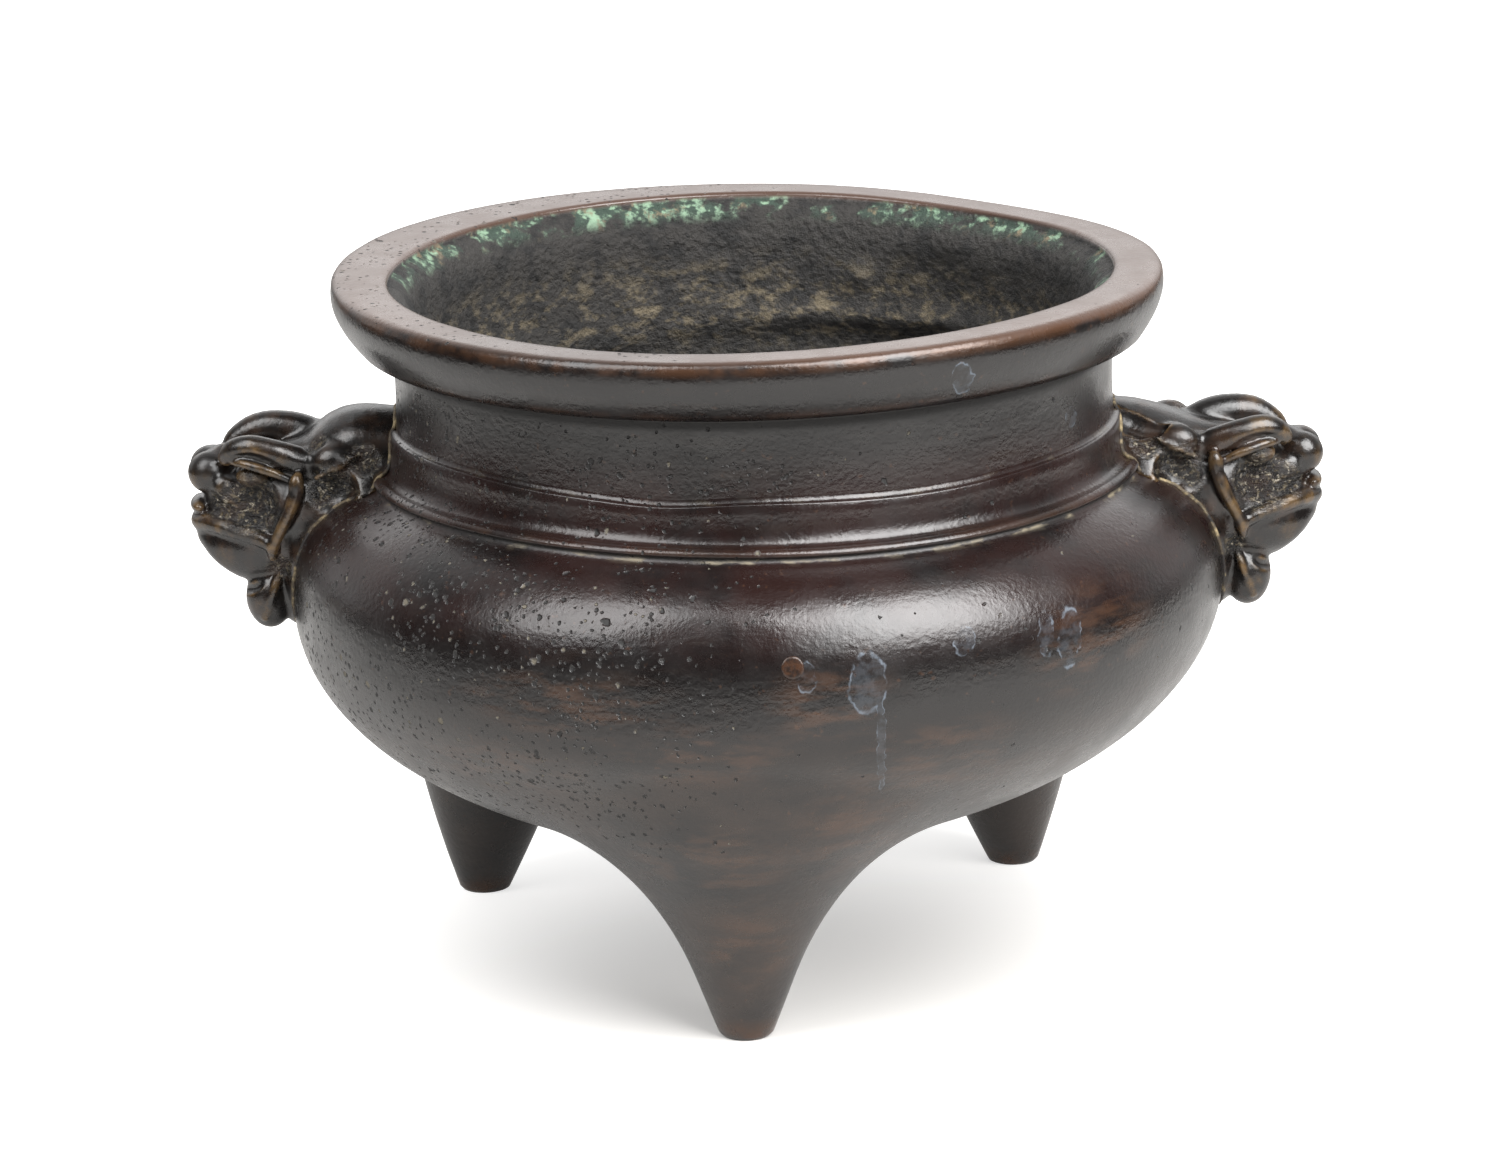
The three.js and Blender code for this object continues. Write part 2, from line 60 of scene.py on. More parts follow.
# Adds a node with its settings and links. Inputs come in the order of the sockets or by name,
# and a node that is given as a value stands for its first output in use.
def addNode(tree, kind, inputs=(), **settings):
    node = tree.nodes.new(kind if kind.startswith("Geometry") else "ShaderNode" + kind)
    for name, value in settings.items():
        setattr(node, name, value)
    for key, value in inputs.items() if isinstance(inputs, dict) else enumerate(inputs):
        if isinstance(key, int):
            socket = node.inputs[key]
        else:
            socket = next(s for s in node.inputs if s.name == key and s.enabled)
        if isinstance(value, bpy.types.Node):
            value = next(s for s in value.outputs if s.enabled)
        if isinstance(value, bpy.types.NodeSocket):
            tree.links.new(value, socket)
        elif isinstance(value, str) and value.startswith("#"):
            socket.default_value = linearColour(value)
        else:
            socket.default_value = value
    return node


# Empties the nodes of a new material or world, and gives the function that adds to them
def emptied(owner):
    owner.use_nodes = True
    owner.node_tree.nodes.clear()
    return owner, partial(addNode, owner.node_tree)


def newObject(name, data):
    made = bpy.data.objects.new(name, data)
    scene.collection.objects.link(made)
    return made


def smoothStep(low, high, value):
    share = np.clip((value - low) / (high - low), 0, 1)
    return share * share * (3 - 2 * share)


# A rounded hill from 0 to 1, and one that stands at an angle round the axis
def hill(value, middle, reach):
    return np.exp(-((value - middle) / reach) ** 2)


def bump(angle, centre, width, height=1):
    return height * hill((np.degrees(angle) - centre + 180) % 360 - 180, 0, width)


def unit(vectors):
    return vectors / np.maximum(np.linalg.norm(vectors, axis=-1, keepdims=True), 1e-9)


# The corners and quads of loose quads, joined where their corners meet
def weld(quads):
    rounded = np.round(quads.reshape(-1, 3), 4) + 0.0
    points, index = np.unique(rounded, axis=0, return_inverse=True)
    return points, index.reshape(-1, 4)


def meshOf(name, points, quads):
    faces = [list(dict.fromkeys(quad)) for quad in quads.tolist()]
    mesh = bpy.data.meshes.new(name)
    mesh.from_pydata((points * mm).tolist(), [], [face for face in faces if len(face) > 2])
    mesh.shade_smooth()
    return newObject(name, mesh)


def giveAttributes(piece, values):
    for name, value in values.items():
        attribute = piece.data.attributes.new(name, "FLOAT", "POINT")
        attribute.data.foreach_set("value", np.asarray(value, np.float32))


def normalsOf(points, quads):
    a, b, c, d = (points[quads[:, i]] for i in range(4))
    across = np.cross(c - a, d - b)
    total = np.zeros_like(points)
    for i in range(4):
        np.add.at(total, quads[:, i], across)
    return unit(total)


# How far each point stands proud of its smoothed surroundings, in millimetres
def proudness(points, quads, rounds):
    edges = np.concatenate([quads[:, [i, (i + 1) % 4]] for i in range(4)])
    count = np.maximum(np.bincount(edges.ravel(), minlength=len(points)), 1)[:, None]
    smooth = points.copy()
    for _ in range(rounds):
        total = np.zeros_like(points)
        np.add.at(total, edges[:, 0], smooth[edges[:, 1]])
        np.add.at(total, edges[:, 1], smooth[edges[:, 0]])
        smooth = (smooth + total / count) / 2
    return np.einsum("ij,ij->i", points - smooth, normalsOf(points, quads))


# Bakes a finished modifier into a plain mesh that keeps the object's name
def plainMesh(piece):
    graph = bpy.context.evaluated_depsgraph_get()
    made = bpy.data.meshes.new_from_object(piece.evaluated_get(graph))
    piece.modifiers.clear()
    piece.data = made
    made.shade_smooth()
    return piece


# Adds a Geometry Nodes modifier with its named inputs set
def applyTree(piece, tree, values):
    modifier = piece.modifiers.new(tree.name, "NODES")
    modifier.node_group = tree
    for item in tree.interface.items_tree:
        if item.item_type == "SOCKET" and item.in_out == "INPUT" and item.name in values:
            modifier[item.identifier] = values[item.name]
    return plainMesh(piece)


# A new geometry tree whose inputs are numbers and a material, and a mesh where it takes one
def newTree(name, numbers, takesMesh=True):
    tree = bpy.data.node_groups.new(name, "GeometryNodeTree")
    tree.interface.new_socket("Geometry", in_out="OUTPUT", socket_type="NodeSocketGeometry")
    kinds = {"Geometry": "Geometry"} if takesMesh else {}
    kinds.update({number: "Float" for number in numbers}, Material="Material")
    for label, kind in kinds.items():
        tree.interface.new_socket(label, in_out="INPUT", socket_type="NodeSocket" + kind)
    given = {socket.name: socket for socket in tree.nodes.new("NodeGroupInput").outputs}
    return tree, partial(addNode, tree), given


# Noise, lowered and times a depth, in a geometry tree. Its width and depth are inputs.
def unevenBy(add, given, width, depth, detail, roughness, lowered):
    scale = add("Math", (1.0, given[width]), operation="DIVIDE")
    place = add("GeometryNodeInputPosition")
    noise = add("TexNoise", (place, given["Seed"], scale, detail, roughness), noise_dimensions="4D")
    low = add("Math", (noise, -lowered), operation="ADD")
    return add("Math", (low, given[depth]), operation="MULTIPLY")


def pushedOut(add, geometry, amount):
    offset = add("VectorMath", {0: add("GeometryNodeInputNormal"), "Scale": amount}, operation="SCALE")
    return add("GeometryNodeSetPosition", {"Geometry": geometry, "Offset": offset})


def endTree(tree, geometry, material):
    real = addNode(tree, "GeometryNodeRealizeInstances", (geometry,))
    painted = addNode(tree, "GeometryNodeSetMaterial", {"Geometry": real, "Material": material})
    end = tree.nodes.new("NodeGroupOutput")
    tree.links.new(painted.outputs[0], end.inputs[0])


# Camera, floor, studio light

view = {
    "target": (-1.316, 0, 54.908),
    "distance": 843.1,
    "elevation": 15.5,
    "roll": 1.383,
    "lens": 131.58,
    "sensor": 36,
}


def makeCamera():
    tilt, roll = math.radians(view["elevation"]), math.radians(view["roll"])
    back = Vector((0, -math.cos(tilt), math.sin(tilt)))
    up = Vector((0, math.sin(tilt), math.cos(tilt)))
    right = Vector((1, 0, 0))
    across = math.cos(roll) * right - math.sin(roll) * up
    upward = math.sin(roll) * right + math.cos(roll) * up
    place = Vector(view["target"]) + back * view["distance"]
    data = bpy.data.cameras.new("camera")
    data.lens = view["lens"]
    data.sensor_width = view["sensor"]
    data.sensor_fit = "HORIZONTAL"
    scene.camera = newObject("camera", data)
    turn = Matrix((across, upward, back)).transposed().to_4x4()
    scene.camera.matrix_world = Matrix.Translation(place * mm) @ turn


studio = {
    "paperLeft": 430,
    "paperRight": 460,
    "paperFront": 520,
    "paperBack": 3000,
    "paperColour": "#bebcb9",
    "paperGlow": 0.16,  # seen by the camera and in reflections only
    "shadowCentre": (25, -68, 0),
    "shadowReach": (20, 190),  # past this the paper is pure white to the camera
    "ambient": (0.2, 0.75),  # the plain light is stronger from behind and above
    "ambientFrom": (0.2, 0.85, 0.5),
    "ambientSpread": (-0.6, 0.9),
    "mirroredBackdrop": (0.02, 0.85),
    "backdropFrom": (0.12, 0.5),
    "backdropFoot": (-0.06, 0.02),
    "aim": (0, 0, 60),
    "softboxes": {  # azimuth, elevation, distance, width, height and power
        "key": (43, 44, 850, 660, 720, 19.5),
        "fill": (-52, 46, 850, 430, 700, 6.6),
        "back": (180, 24, 1300, 2000, 500, 3.6),
    },
}


# A sheet of white paper. It glows a little to the camera and in reflections, and keeps the shadow
# near the vessel; further from the shadow's centre a stronger glow, seen by the camera only, is
# painted light that whitens the shadow out. It ends in front and at the sides, so the bronze
# mirrors the dark room past it.
def paperMaterial():
    material, add = emptied(bpy.data.materials.new("white_paper"))
    ray = add("LightPath").outputs
    seen = add("Math", (ray["Is Camera Ray"], ray["Is Glossy Ray"]), operation="ADD")
    seen = add("Math", (seen, ray["Is Transmission Ray"]), operation="ADD", use_clamp=True)
    glow = add("Math", (seen, studio["paperGlow"]), operation="MULTIPLY")
    centre = tuple(value * mm for value in studio["shadowCentre"])
    away = add("VectorMath", (add("TexCoord").outputs["Object"], centre), operation="DISTANCE")
    near, far = studio["shadowReach"]
    # painted light: to the camera the paper glows more the further it lies from the shadow's centre
    bare = add("MapRange", (away, near * mm, far * mm), **smoothly)
    bare = add("Math", (bare, ray["Is Camera Ray"]), operation="MULTIPLY")
    glow = add("Math", (glow, bare), operation="ADD")
    shine = add("Emission", ("#ffffff", glow))
    paper = add("BsdfDiffuse", (studio["paperColour"],))
    add("OutputMaterial", (add("AddShader", (paper, shine)),))
    return material


def makeFloor():
    left, right = -studio["paperLeft"], studio["paperRight"]
    front, back = -studio["paperFront"], studio["paperBack"]
    corners = np.array([(left, front, 0), (right, front, 0), (right, back, 0), (left, back, 0)], float)
    floor = meshOf("floor", corners, np.array([[0, 1, 2, 3]]))
    floor.data.materials.append(paperMaterial())


# A white backdrop behind, a dim room in front, and plain light for everything else
def makeWorld():
    scene.world, add = emptied(bpy.data.worlds.new("studio"))
    ray = add("LightPath").outputs
    direction = add("TexCoord").outputs["Generated"]
    parts = add("SeparateXYZ", (direction,)).outputs
    behind = add("MapRange", (parts["Y"], *studio["backdropFrom"], *studio["mirroredBackdrop"]), **smoothly)
    above = add("MapRange", (parts["Z"], *studio["backdropFoot"]), **smoothly)
    behind = add("Math", (behind, above), operation="MULTIPLY")
    white = add("Math", (ray["Is Camera Ray"], ray["Is Transmission Ray"]), operation="ADD", use_clamp=True)
    mirrored = add("Math", (ray["Is Glossy Ray"], behind), operation="MULTIPLY")
    towards = add("VectorMath", (direction, studio["ambientFrom"]), operation="DOT_PRODUCT")
    plain = add("MapRange", (towards, *studio["ambientSpread"], *studio["ambient"]))
    lit = add("Math", (ray["Is Diffuse Ray"], plain), operation="MULTIPLY")
    level = add("Math", (white, mirrored), operation="ADD", use_clamp=True)
    level = add("Math", (level, lit), operation="ADD")
    add("OutputWorld", (add("Background", ("#ffffff", level)),))


def makeSoftboxes():
    for name, (azimuth, elevation, distance, width, height, power) in studio["softboxes"].items():
        turn, rise = math.radians(azimuth), math.radians(elevation)
        outward = Vector((math.cos(rise) * math.sin(turn), -math.cos(rise) * math.cos(turn), math.sin(rise)))
        data = bpy.data.lights.new(name, "AREA")
        data.shape = "RECTANGLE"
        data.size, data.size_y = width * mm, height * mm
        data.energy = power
        lamp = newObject(name, data)
        lamp.location = Vector(studio["aim"]) * mm + outward * distance * mm
        lamp.rotation_euler = outward.to_track_quat("Z", "Y").to_euler()
        lamp.visible_camera = False


makeCamera()
makeFloor()
makeWorld()
makeSoftboxes()
print("camera, floor and studio light made")


# Vessel: the same profile and skin as its solid, made finer and unevenly hand-cast

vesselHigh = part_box("vessel")[1]
vessel = {
    "bellyRadius": vesselHigh.y / mm,
    "rimHeight": vesselHigh.z / mm,
    "bellyHeight": 57,
    "shoulderRise": 18.8,
    "collarBand": 6.8,
    "neckHeight": 13.4,
    "bellyReach": 16.6,
    "neckWaist": 0.2,
    "collarStep": 0.9,
    "collarReach": 3.3,
    "collarBend": 0.3,
    "collarHollow": 0.6,
    "lipReach": 7.8,
    "lipWidth": 7.6,
    "wall": 4,
    "lipLean": 2.9,
    "lipRound": 1.7,
    "mouthRound": 1.1,
    "lipSwell": 0.5,
    "undercutHeight": 1.6,
    "throatDrop": 8,
    "collarRound": 0.7,
    "grooveDepth": 0.5,
    "grooveWidth": 1.4,
    "shoulderFullness": 8.6,
    "bellyFullness": 9.4,
    "bellyDepth": 38.5,
    "bellyTilt": 0.0152,
    "feet": [
        {"angle": 36.6, "inset": 21.3, "blend": 8},
        {"angle": 153.8, "inset": 21.3, "blend": 8},
        {"angle": 266, "inset": 22.3, "blend": 17.5},
    ],
    "soleRadius": 3.9,
    "soleFlatShare": 0.92,
    "footSwell": 28,
    "footSteepness": 2.35,
    "footLean": 0.1,
    "footHollowHeight": 13,
    "blendFade": 25,
    "columns": 288,
    "outsideSpacing": 0.8,
    "insideSpacing": 1.2,
    "sideRows": 14,
    "sideShare": 0.4,
    "edgeSteps": 34,
    "outsideRings": 58,
    "insideRings": 24,
    "ringSpread": 1.15,
}
body = SimpleNamespace(**vessel)
lowerRidge = body.bellyHeight + body.shoulderRise
shoulderTop = lowerRidge - body.grooveWidth
upperRidge = lowerRidge + body.collarBand
lipFoot = upperRidge + body.neckHeight
neckTop = lipFoot - body.undercutHeight
neckRadius = body.bellyRadius - body.bellyReach
ridgeRadius = neckRadius + body.collarStep
bandRadius = ridgeRadius + body.collarReach
rimRadius = neckRadius + body.lipReach
mouthRadius = rimRadius - body.lipWidth


# Radius and height along smooth curves that follow on from each other
def profileOf(start, curves, spacing):
    rows = [np.array([start], float)]
    for curve in curves:
        controls = np.array([rows[-1][-1], *curve], float)
        steps = max(3, round(np.linalg.norm(np.diff(controls, axis=0), axis=1).sum() / spacing))
        share = np.linspace(0, 1, steps + 1)[:, None, None]
        points = np.repeat(controls[None], steps + 1, axis=0)
        while points.shape[1] > 1:
            points = points[:, :-1] * (1 - share) + points[:, 1:] * share
        rows.append(points[1:, 0])
    return np.concatenate(rows)


def outerProfile():
    v = body
    return profileOf((v.bellyRadius, v.bellyHeight), [
        [(v.bellyRadius, v.bellyHeight + v.bellyFullness),
         (bandRadius + v.shoulderFullness, shoulderTop - v.shoulderFullness / 3), (bandRadius, shoulderTop)],
        [(bandRadius - v.grooveDepth, shoulderTop + v.grooveWidth / 3),
         (bandRadius - v.grooveDepth, lowerRidge - v.collarRound)],
        [(bandRadius + v.collarRound, lowerRidge - v.collarRound / 2),
         (bandRadius - v.collarRound, lowerRidge + v.collarRound)],
        [(ridgeRadius + v.collarHollow, lowerRidge + v.collarBend),
         (ridgeRadius + v.collarHollow / 6, lowerRidge + v.collarBend + v.collarStep),
         (ridgeRadius, upperRidge - v.collarStep / 3)],
        [(ridgeRadius, upperRidge), (neckRadius, upperRidge)],
        [(neckRadius - v.neckWaist * 2, (upperRidge + neckTop) / 2), (neckRadius, neckTop)],
        [(neckRadius, lipFoot), (rimRadius - v.lipLean, lipFoot)],
        [(rimRadius + v.lipSwell, (lipFoot + v.rimHeight) / 2), (rimRadius, v.rimHeight - v.lipRound)],
        [(rimRadius, v.rimHeight), (rimRadius - v.lipRound, v.rimHeight)],
    ], v.outsideSpacing)


def innerProfile():
    v = body
    boreRadius = neckRadius - v.neckWaist - v.wall
    boreFoot = upperRidge - v.collarBand / 2
    inner = v.bellyRadius - v.wall
    return profileOf((rimRadius - v.lipRound, v.rimHeight), [
        [(mouthRadius + v.mouthRound, v.rimHeight)],
        [(mouthRadius, v.rimHeight), (mouthRadius, v.rimHeight - v.mouthRound)],
        [(boreRadius, v.rimHeight - v.throatDrop / 3), (boreRadius, v.rimHeight - v.throatDrop)],
        [(boreRadius, boreFoot)],
        [(boreRadius + v.shoulderFullness, boreFoot - v.shoulderFullness),
         (inner, v.bellyHeight + v.bellyFullness), (inner, v.bellyHeight)],
    ], v.insideSpacing)


def smoothLower(a, b, blend):
    blend = np.maximum(blend, 1e-6)
    share = np.clip(0.5 + 0.5 * (b - a) / blend, 0, 1)
    return b * (1 - share) + a * share - blend * share * (1 - share)


def footCentre(foot, height):
    distance = body.bellyRadius - foot["inset"] - body.footLean * height
    turn = math.radians(foot["angle"])
    return distance * math.cos(turn), distance * math.sin(turn)


# Below zero inside the skin. The belly is a half ellipsoid and each foot a cone whose
# flank steepens, and they melt into each other.
def skinValue(points, skin):
    x, y, z = points.T
    drop = np.maximum(body.bellyHeight + body.bellyTilt * x - z, 0)
    value = (np.hypot(np.hypot(x, y) / skin["radius"], drop / skin["depth"]) - 1) * skin["depth"]
    fade = smoothStep(0, body.blendFade, body.bellyHeight - z)
    flankShare = body.footSteepness / math.hypot(1, body.footSteepness)
    for foot in body.feet:
        centreX, centreY = footCentre(foot, z)
        rise = np.maximum(z - skin["footHeight"], 0)
        swell = body.footSwell * (1 - np.exp(-rise / (body.footSteepness * body.footSwell)))
        away = np.hypot(x - centreX, y - centreY)
        flank = (away - body.soleRadius - swell) * flankShare
        value = smoothLower(value, flank, foot["blend"] * fade)
    return np.maximum(value, skin["footHeight"] - z)


# Where lines that start inside the skin first leave it
def skinHit(starts, directions, skin):
    directions = unit(directions)
    starts = np.broadcast_to(np.asarray(starts, float), directions.shape)
    reach, searchSteps, halvings = body.bellyRadius * 2, 90, 30
    near = np.zeros(len(directions))
    far = np.full(len(directions), reach)
    walking = np.ones(len(directions), bool)
    for step in range(1, searchSteps + 1):
        distance = reach * step / searchSteps
        out = skinValue(starts[walking] + directions[walking] * distance, skin) > 0
        index = np.flatnonzero(walking)
        far[index[out]] = distance
        near[index[~out]] = distance
        walking[index[out]] = False
        if not walking.any():
            break
    for _ in range(halvings):
        middle = (near + far) / 2
        out = skinValue(starts + directions * middle[:, None], skin) > 0
        far = np.where(out, middle, far)
        near = np.where(out, near, middle)
    return starts + directions * far[:, None]


def ringOf(radius, height):
    turn = np.arange(body.columns) / body.columns * 2 * math.pi
    return np.column_stack([radius * np.cos(turn), radius * np.sin(turn), np.full(body.columns, height)])


def sideOf(skin):
    rows = [ringOf(skin["radius"], body.bellyHeight)]
    for row in range(1, body.sideRows + 1):
        height = body.bellyHeight - row / body.sideRows * body.sideShare * skin["depth"]
        rows.append(skinHit((0, 0, height), ringOf(1, 0), skin))
    return np.array(rows)


# Points on the underside, from the axis out to a corner between two feet
def spokeTo(corner, skin):
    share = np.arange(body.edgeSteps)[:, None] / body.edgeSteps
    tops = np.column_stack([corner[None, :2] * share, np.full(body.edgeSteps, corner[2])])
    down = np.tile((0.0, 0.0, -1.0), (body.edgeSteps, 1))
    return np.vstack([skinHit(tops, down, skin), corner])


# Rings from a foot's sole out to the edge of its patch
def footRings(foot, border, skin):
    x, y = footCentre(foot, skin["footHeight"])
    sole = np.array([x, y, skin["footHeight"]])
    heart = np.array([x, y, body.bellyHeight - skin["depth"] / 3])
    starts = np.tile(sole, (len(border), 1))
    starts[:, :2] += unit(border[:, :2] - sole[:2]) * body.soleRadius * body.soleFlatShare
    inner, outer = unit(starts - heart), unit(border - heart)
    angle = np.arccos(np.clip((inner * outer).sum(axis=1), -1, 1))[:, None]
    shares = (np.arange(1, skin["rings"]) / skin["rings"]) ** body.ringSpread
    rays = [(np.sin((1 - share) * angle) * inner + np.sin(share * angle) * outer) for share in shares]
    rings = skinHit(heart, np.concatenate(rays), skin).reshape(len(shares), len(border), 3)
    return np.concatenate([[np.tile(sole, (len(border), 1))], [starts], rings, [border]])


# Quads between neighbouring rows of points that run round in a loop
def stitched(rows):
    across = np.roll(rows, -1, axis=1)
    return np.stack([rows[:-1], across[:-1], across[1:], rows[1:]], axis=2).reshape(-1, 4, 3)


def bellyQuads(skin):
    rows = sideOf(skin)
    turns = [foot["angle"] / 360 * body.columns for foot in body.feet]
    corners = [round((turn + after) / 2) for turn, after in zip(turns, [*turns[1:], turns[0] + body.columns])]
    spokes = [spokeTo(rows[-1][corner % body.columns], skin) for corner in corners]
    quads = [stitched(rows[::-1])]
    for i, foot in enumerate(body.feet):
        first = corners[i - 1] - (body.columns if i == 0 else 0)
        side = rows[-1][np.arange(first + 1, corners[i]) % body.columns]
        border = np.concatenate([spokes[i - 1], side, spokes[i][::-1][:-1]])
        quads.append(stitched(footRings(foot, border, skin)))
    return np.concatenate(quads)


def turnedQuads(profile):
    return stitched(np.array([ringOf(radius, height) for radius, height in profile]))


# What the caster's hand left: a lip that dips at the front left and the back right and is wide
# at the back left, ridges that wander, a belly that hangs lower at the front. What stands at
# an angle has its angle, width and size; a height comes with its reach.
unevenness = {
    "lipDips": [(235, 60, 1.0), (42, 30, 0.6)],
    "lipDrop": 0.12,
    "lipWave": 0.1,
    "lipFlat": (50, 22, 1.9),
    "lipRipple": 0.3,
    "lipBulge": (135, 42, 4.2),
    "bellyBulge": (256, 38, 1.25),
    "bellyBulgeHeight": (47.8, 7),
    "bellySag": (260, 32, 2.0),
    "bellySagHeight": (56, 8),
    "ridgeWander": 0.35,
    "ridgeRipple": 0.16,
    "ridgeReach": 3.2,
    "ridgeDip": (256, 9, 0.55),
    "lowerWander": 0.25,
    "lowerReach": 2.4,
    "sideDent": 0.35,
    "dentFoot": (6, 25),
    "dentTop": 6,
    "rimFade": (5, 3),
    "bulgeEdge": 1,
    "maskWidth": 24,
    "stillRadius": 20,
}


def handCast(points, inside):
    u = SimpleNamespace(**unevenness)
    x, y, z = points.T
    radius, angle = np.hypot(x, y), np.arctan2(y, x)
    offMask = 1 - np.clip(bump(angle, 0, u.maskWidth) + bump(angle, 180, u.maskWidth), 0, 1)
    rim = smoothStep(neckTop - u.rimFade[0], body.rimHeight - u.rimFade[1], z)
    dip = sum(bump(angle, *lipDip) for lipDip in u.lipDips)
    dip += u.lipDrop + u.lipWave * np.cos(3 * angle - 1.2)
    ridge, lower = hill(z, upperRidge, u.ridgeReach) * offMask, hill(z, lowerRidge, u.lowerReach) * offMask
    wander = u.ridgeWander * np.sin(2 * angle + 0.8) + u.ridgeRipple * np.sin(7 * angle)
    wander -= bump(angle, *u.ridgeDip)
    z = z - rim * dip + ridge * wander + lower * u.lowerWander * np.sin(3 * angle + 2)
    flat = bump(angle, *u.lipFlat) + u.lipRipple * (0.5 + 0.5 * np.sin(5 * angle + 1))
    dent = u.sideDent * (0.5 + 0.5 * np.sin(2 * angle + 0.09 * z + 1)) * smoothStep(*u.dentFoot, z)
    dent *= 1 - smoothStep(lowerRidge - u.dentTop, lowerRidge, z)
    bulge = rim * (1 - inside) * smoothStep(mouthRadius + u.bulgeEdge, rimRadius - u.bulgeEdge, radius)
    bulge *= bump(angle, *u.lipBulge)
    hang = bump(angle, *u.bellyBulge) * hill(z, *u.bellyBulgeHeight)
    shrink = (rim * flat + dent * offMask - bulge - hang) / np.maximum(radius, u.stillRadius)
    z = z - bump(angle, *u.bellySag) * hill(z, *u.bellySagHeight)
    return np.column_stack([x * (1 - shrink), y * (1 - shrink), z])


coreFlaw = {
    "ledgeHeight": 86.2,
    "ledgeWander": 1.3,
    "ledgeRipple": 0.6,
    "ledgeDepth": 1.7,
    "ledgeReach": 1.9,
    "recess": 1.2,
    "recessTop": (1.5, 4.5),
    "recessFoot": (70, 78),
    "lump": (70, 4, 1.6),
    "lumpHeight": (92.6, 3.2),
    "foot": (60, 74),
}


# The cavity's ledge under the neck and the lump left on its back wall by a flaw in the core
def coreFlaws(points, inside):
    c = SimpleNamespace(**coreFlaw)
    x, y, z = points.T
    radius, angle = np.hypot(x, y), np.arctan2(y, x)
    ledgeHeight = c.ledgeHeight + c.ledgeWander * np.sin(2 * angle + 0.4) + c.ledgeRipple * np.sin(5 * angle)
    ledge = c.ledgeDepth * hill(z, ledgeHeight, c.ledgeReach) * (0.55 + 0.45 * np.sin(3 * angle + 5.2))
    upper = smoothStep(ledgeHeight - c.recessTop[0], ledgeHeight - c.recessTop[1], z)
    recess = -c.recess * upper * smoothStep(*c.recessFoot, z)
    lump = bump(angle, *c.lump) * hill(z, *c.lumpHeight)
    inward = (ledge + recess + lump) * inside * smoothStep(*c.foot, z)
    inward = inward / np.maximum(radius, unevenness["stillRadius"])
    return np.column_stack([x * (1 - inward), y * (1 - inward), z])


# Roughens a casting's skin: a gentle unevenness outside, and a thick crust where it is rough
def castSurfaceTree():
    numbers = ("Unevenness", "Unevenness Width", "Crust Depth", "Crust Width", "Seed")
    tree, add, given = newTree("cast_surface", numbers)
    rough, held = (add("GeometryNodeInputNamedAttribute", {"Name": name}, data_type="FLOAT")
                   for name in ("rough", "held"))
    waves = unevenBy(add, given, "Unevenness Width", "Unevenness", 1.0, 0.62, 0.85)
    crust = unevenBy(add, given, "Crust Width", "Crust Depth", 5.0, 0.62, 0.85)
    crust = add("Math", (crust, rough), operation="MULTIPLY")
    total = add("Math", (waves, crust), operation="ADD")
    free = add("Math", (1.0, held), operation="SUBTRACT")
    amount = add("Math", (total, free), operation="MULTIPLY")
    endTree(tree, pushedOut(add, given["Geometry"], amount), given["Material"])
    return tree


castSurface = castSurfaceTree()


# Heights where hands rubbed the skin, where dust lies, and where shade is painted black under
# the lip and in the groove below the collar: level, reach and strength
wornLevels = [(body.rimHeight - 1.1, 0.7, 1.0), (lipFoot + 0.9, 0.6, 0.35), (lowerRidge, 0.6, 0.35)]
dustyLevels = [(shoulderTop + 0.3, 0.22, 0.9), (upperRidge + 0.3, 0.25, 0.6)]
paintedShadeLevels = [(neckTop - 0.3, 0.9, 1.0), (shoulderTop + 0.7, 0.35, 0.8)]

# How far such places reach or between which distances they fade, in millimetres or as a share
fades = {"mouth": 3, "crust": 5, "sole": (0.5, 4), "plug": (2.2, 4.5), "browned": (1.3, 0.4)}


def traces(points, inside):
    x, y, z = points.T
    atMouth = (z > body.rimHeight - fades["mouth"]) * (np.hypot(x, y) < mouthRadius + fades["mouth"])
    found = []
    for levels in (wornLevels, dustyLevels, paintedShadeLevels):
        trace = np.max([strength * hill(z, level, reach) for level, reach, strength in levels], axis=0)
        found.append(trace * (1 - inside) * (1 - atMouth))
    return found


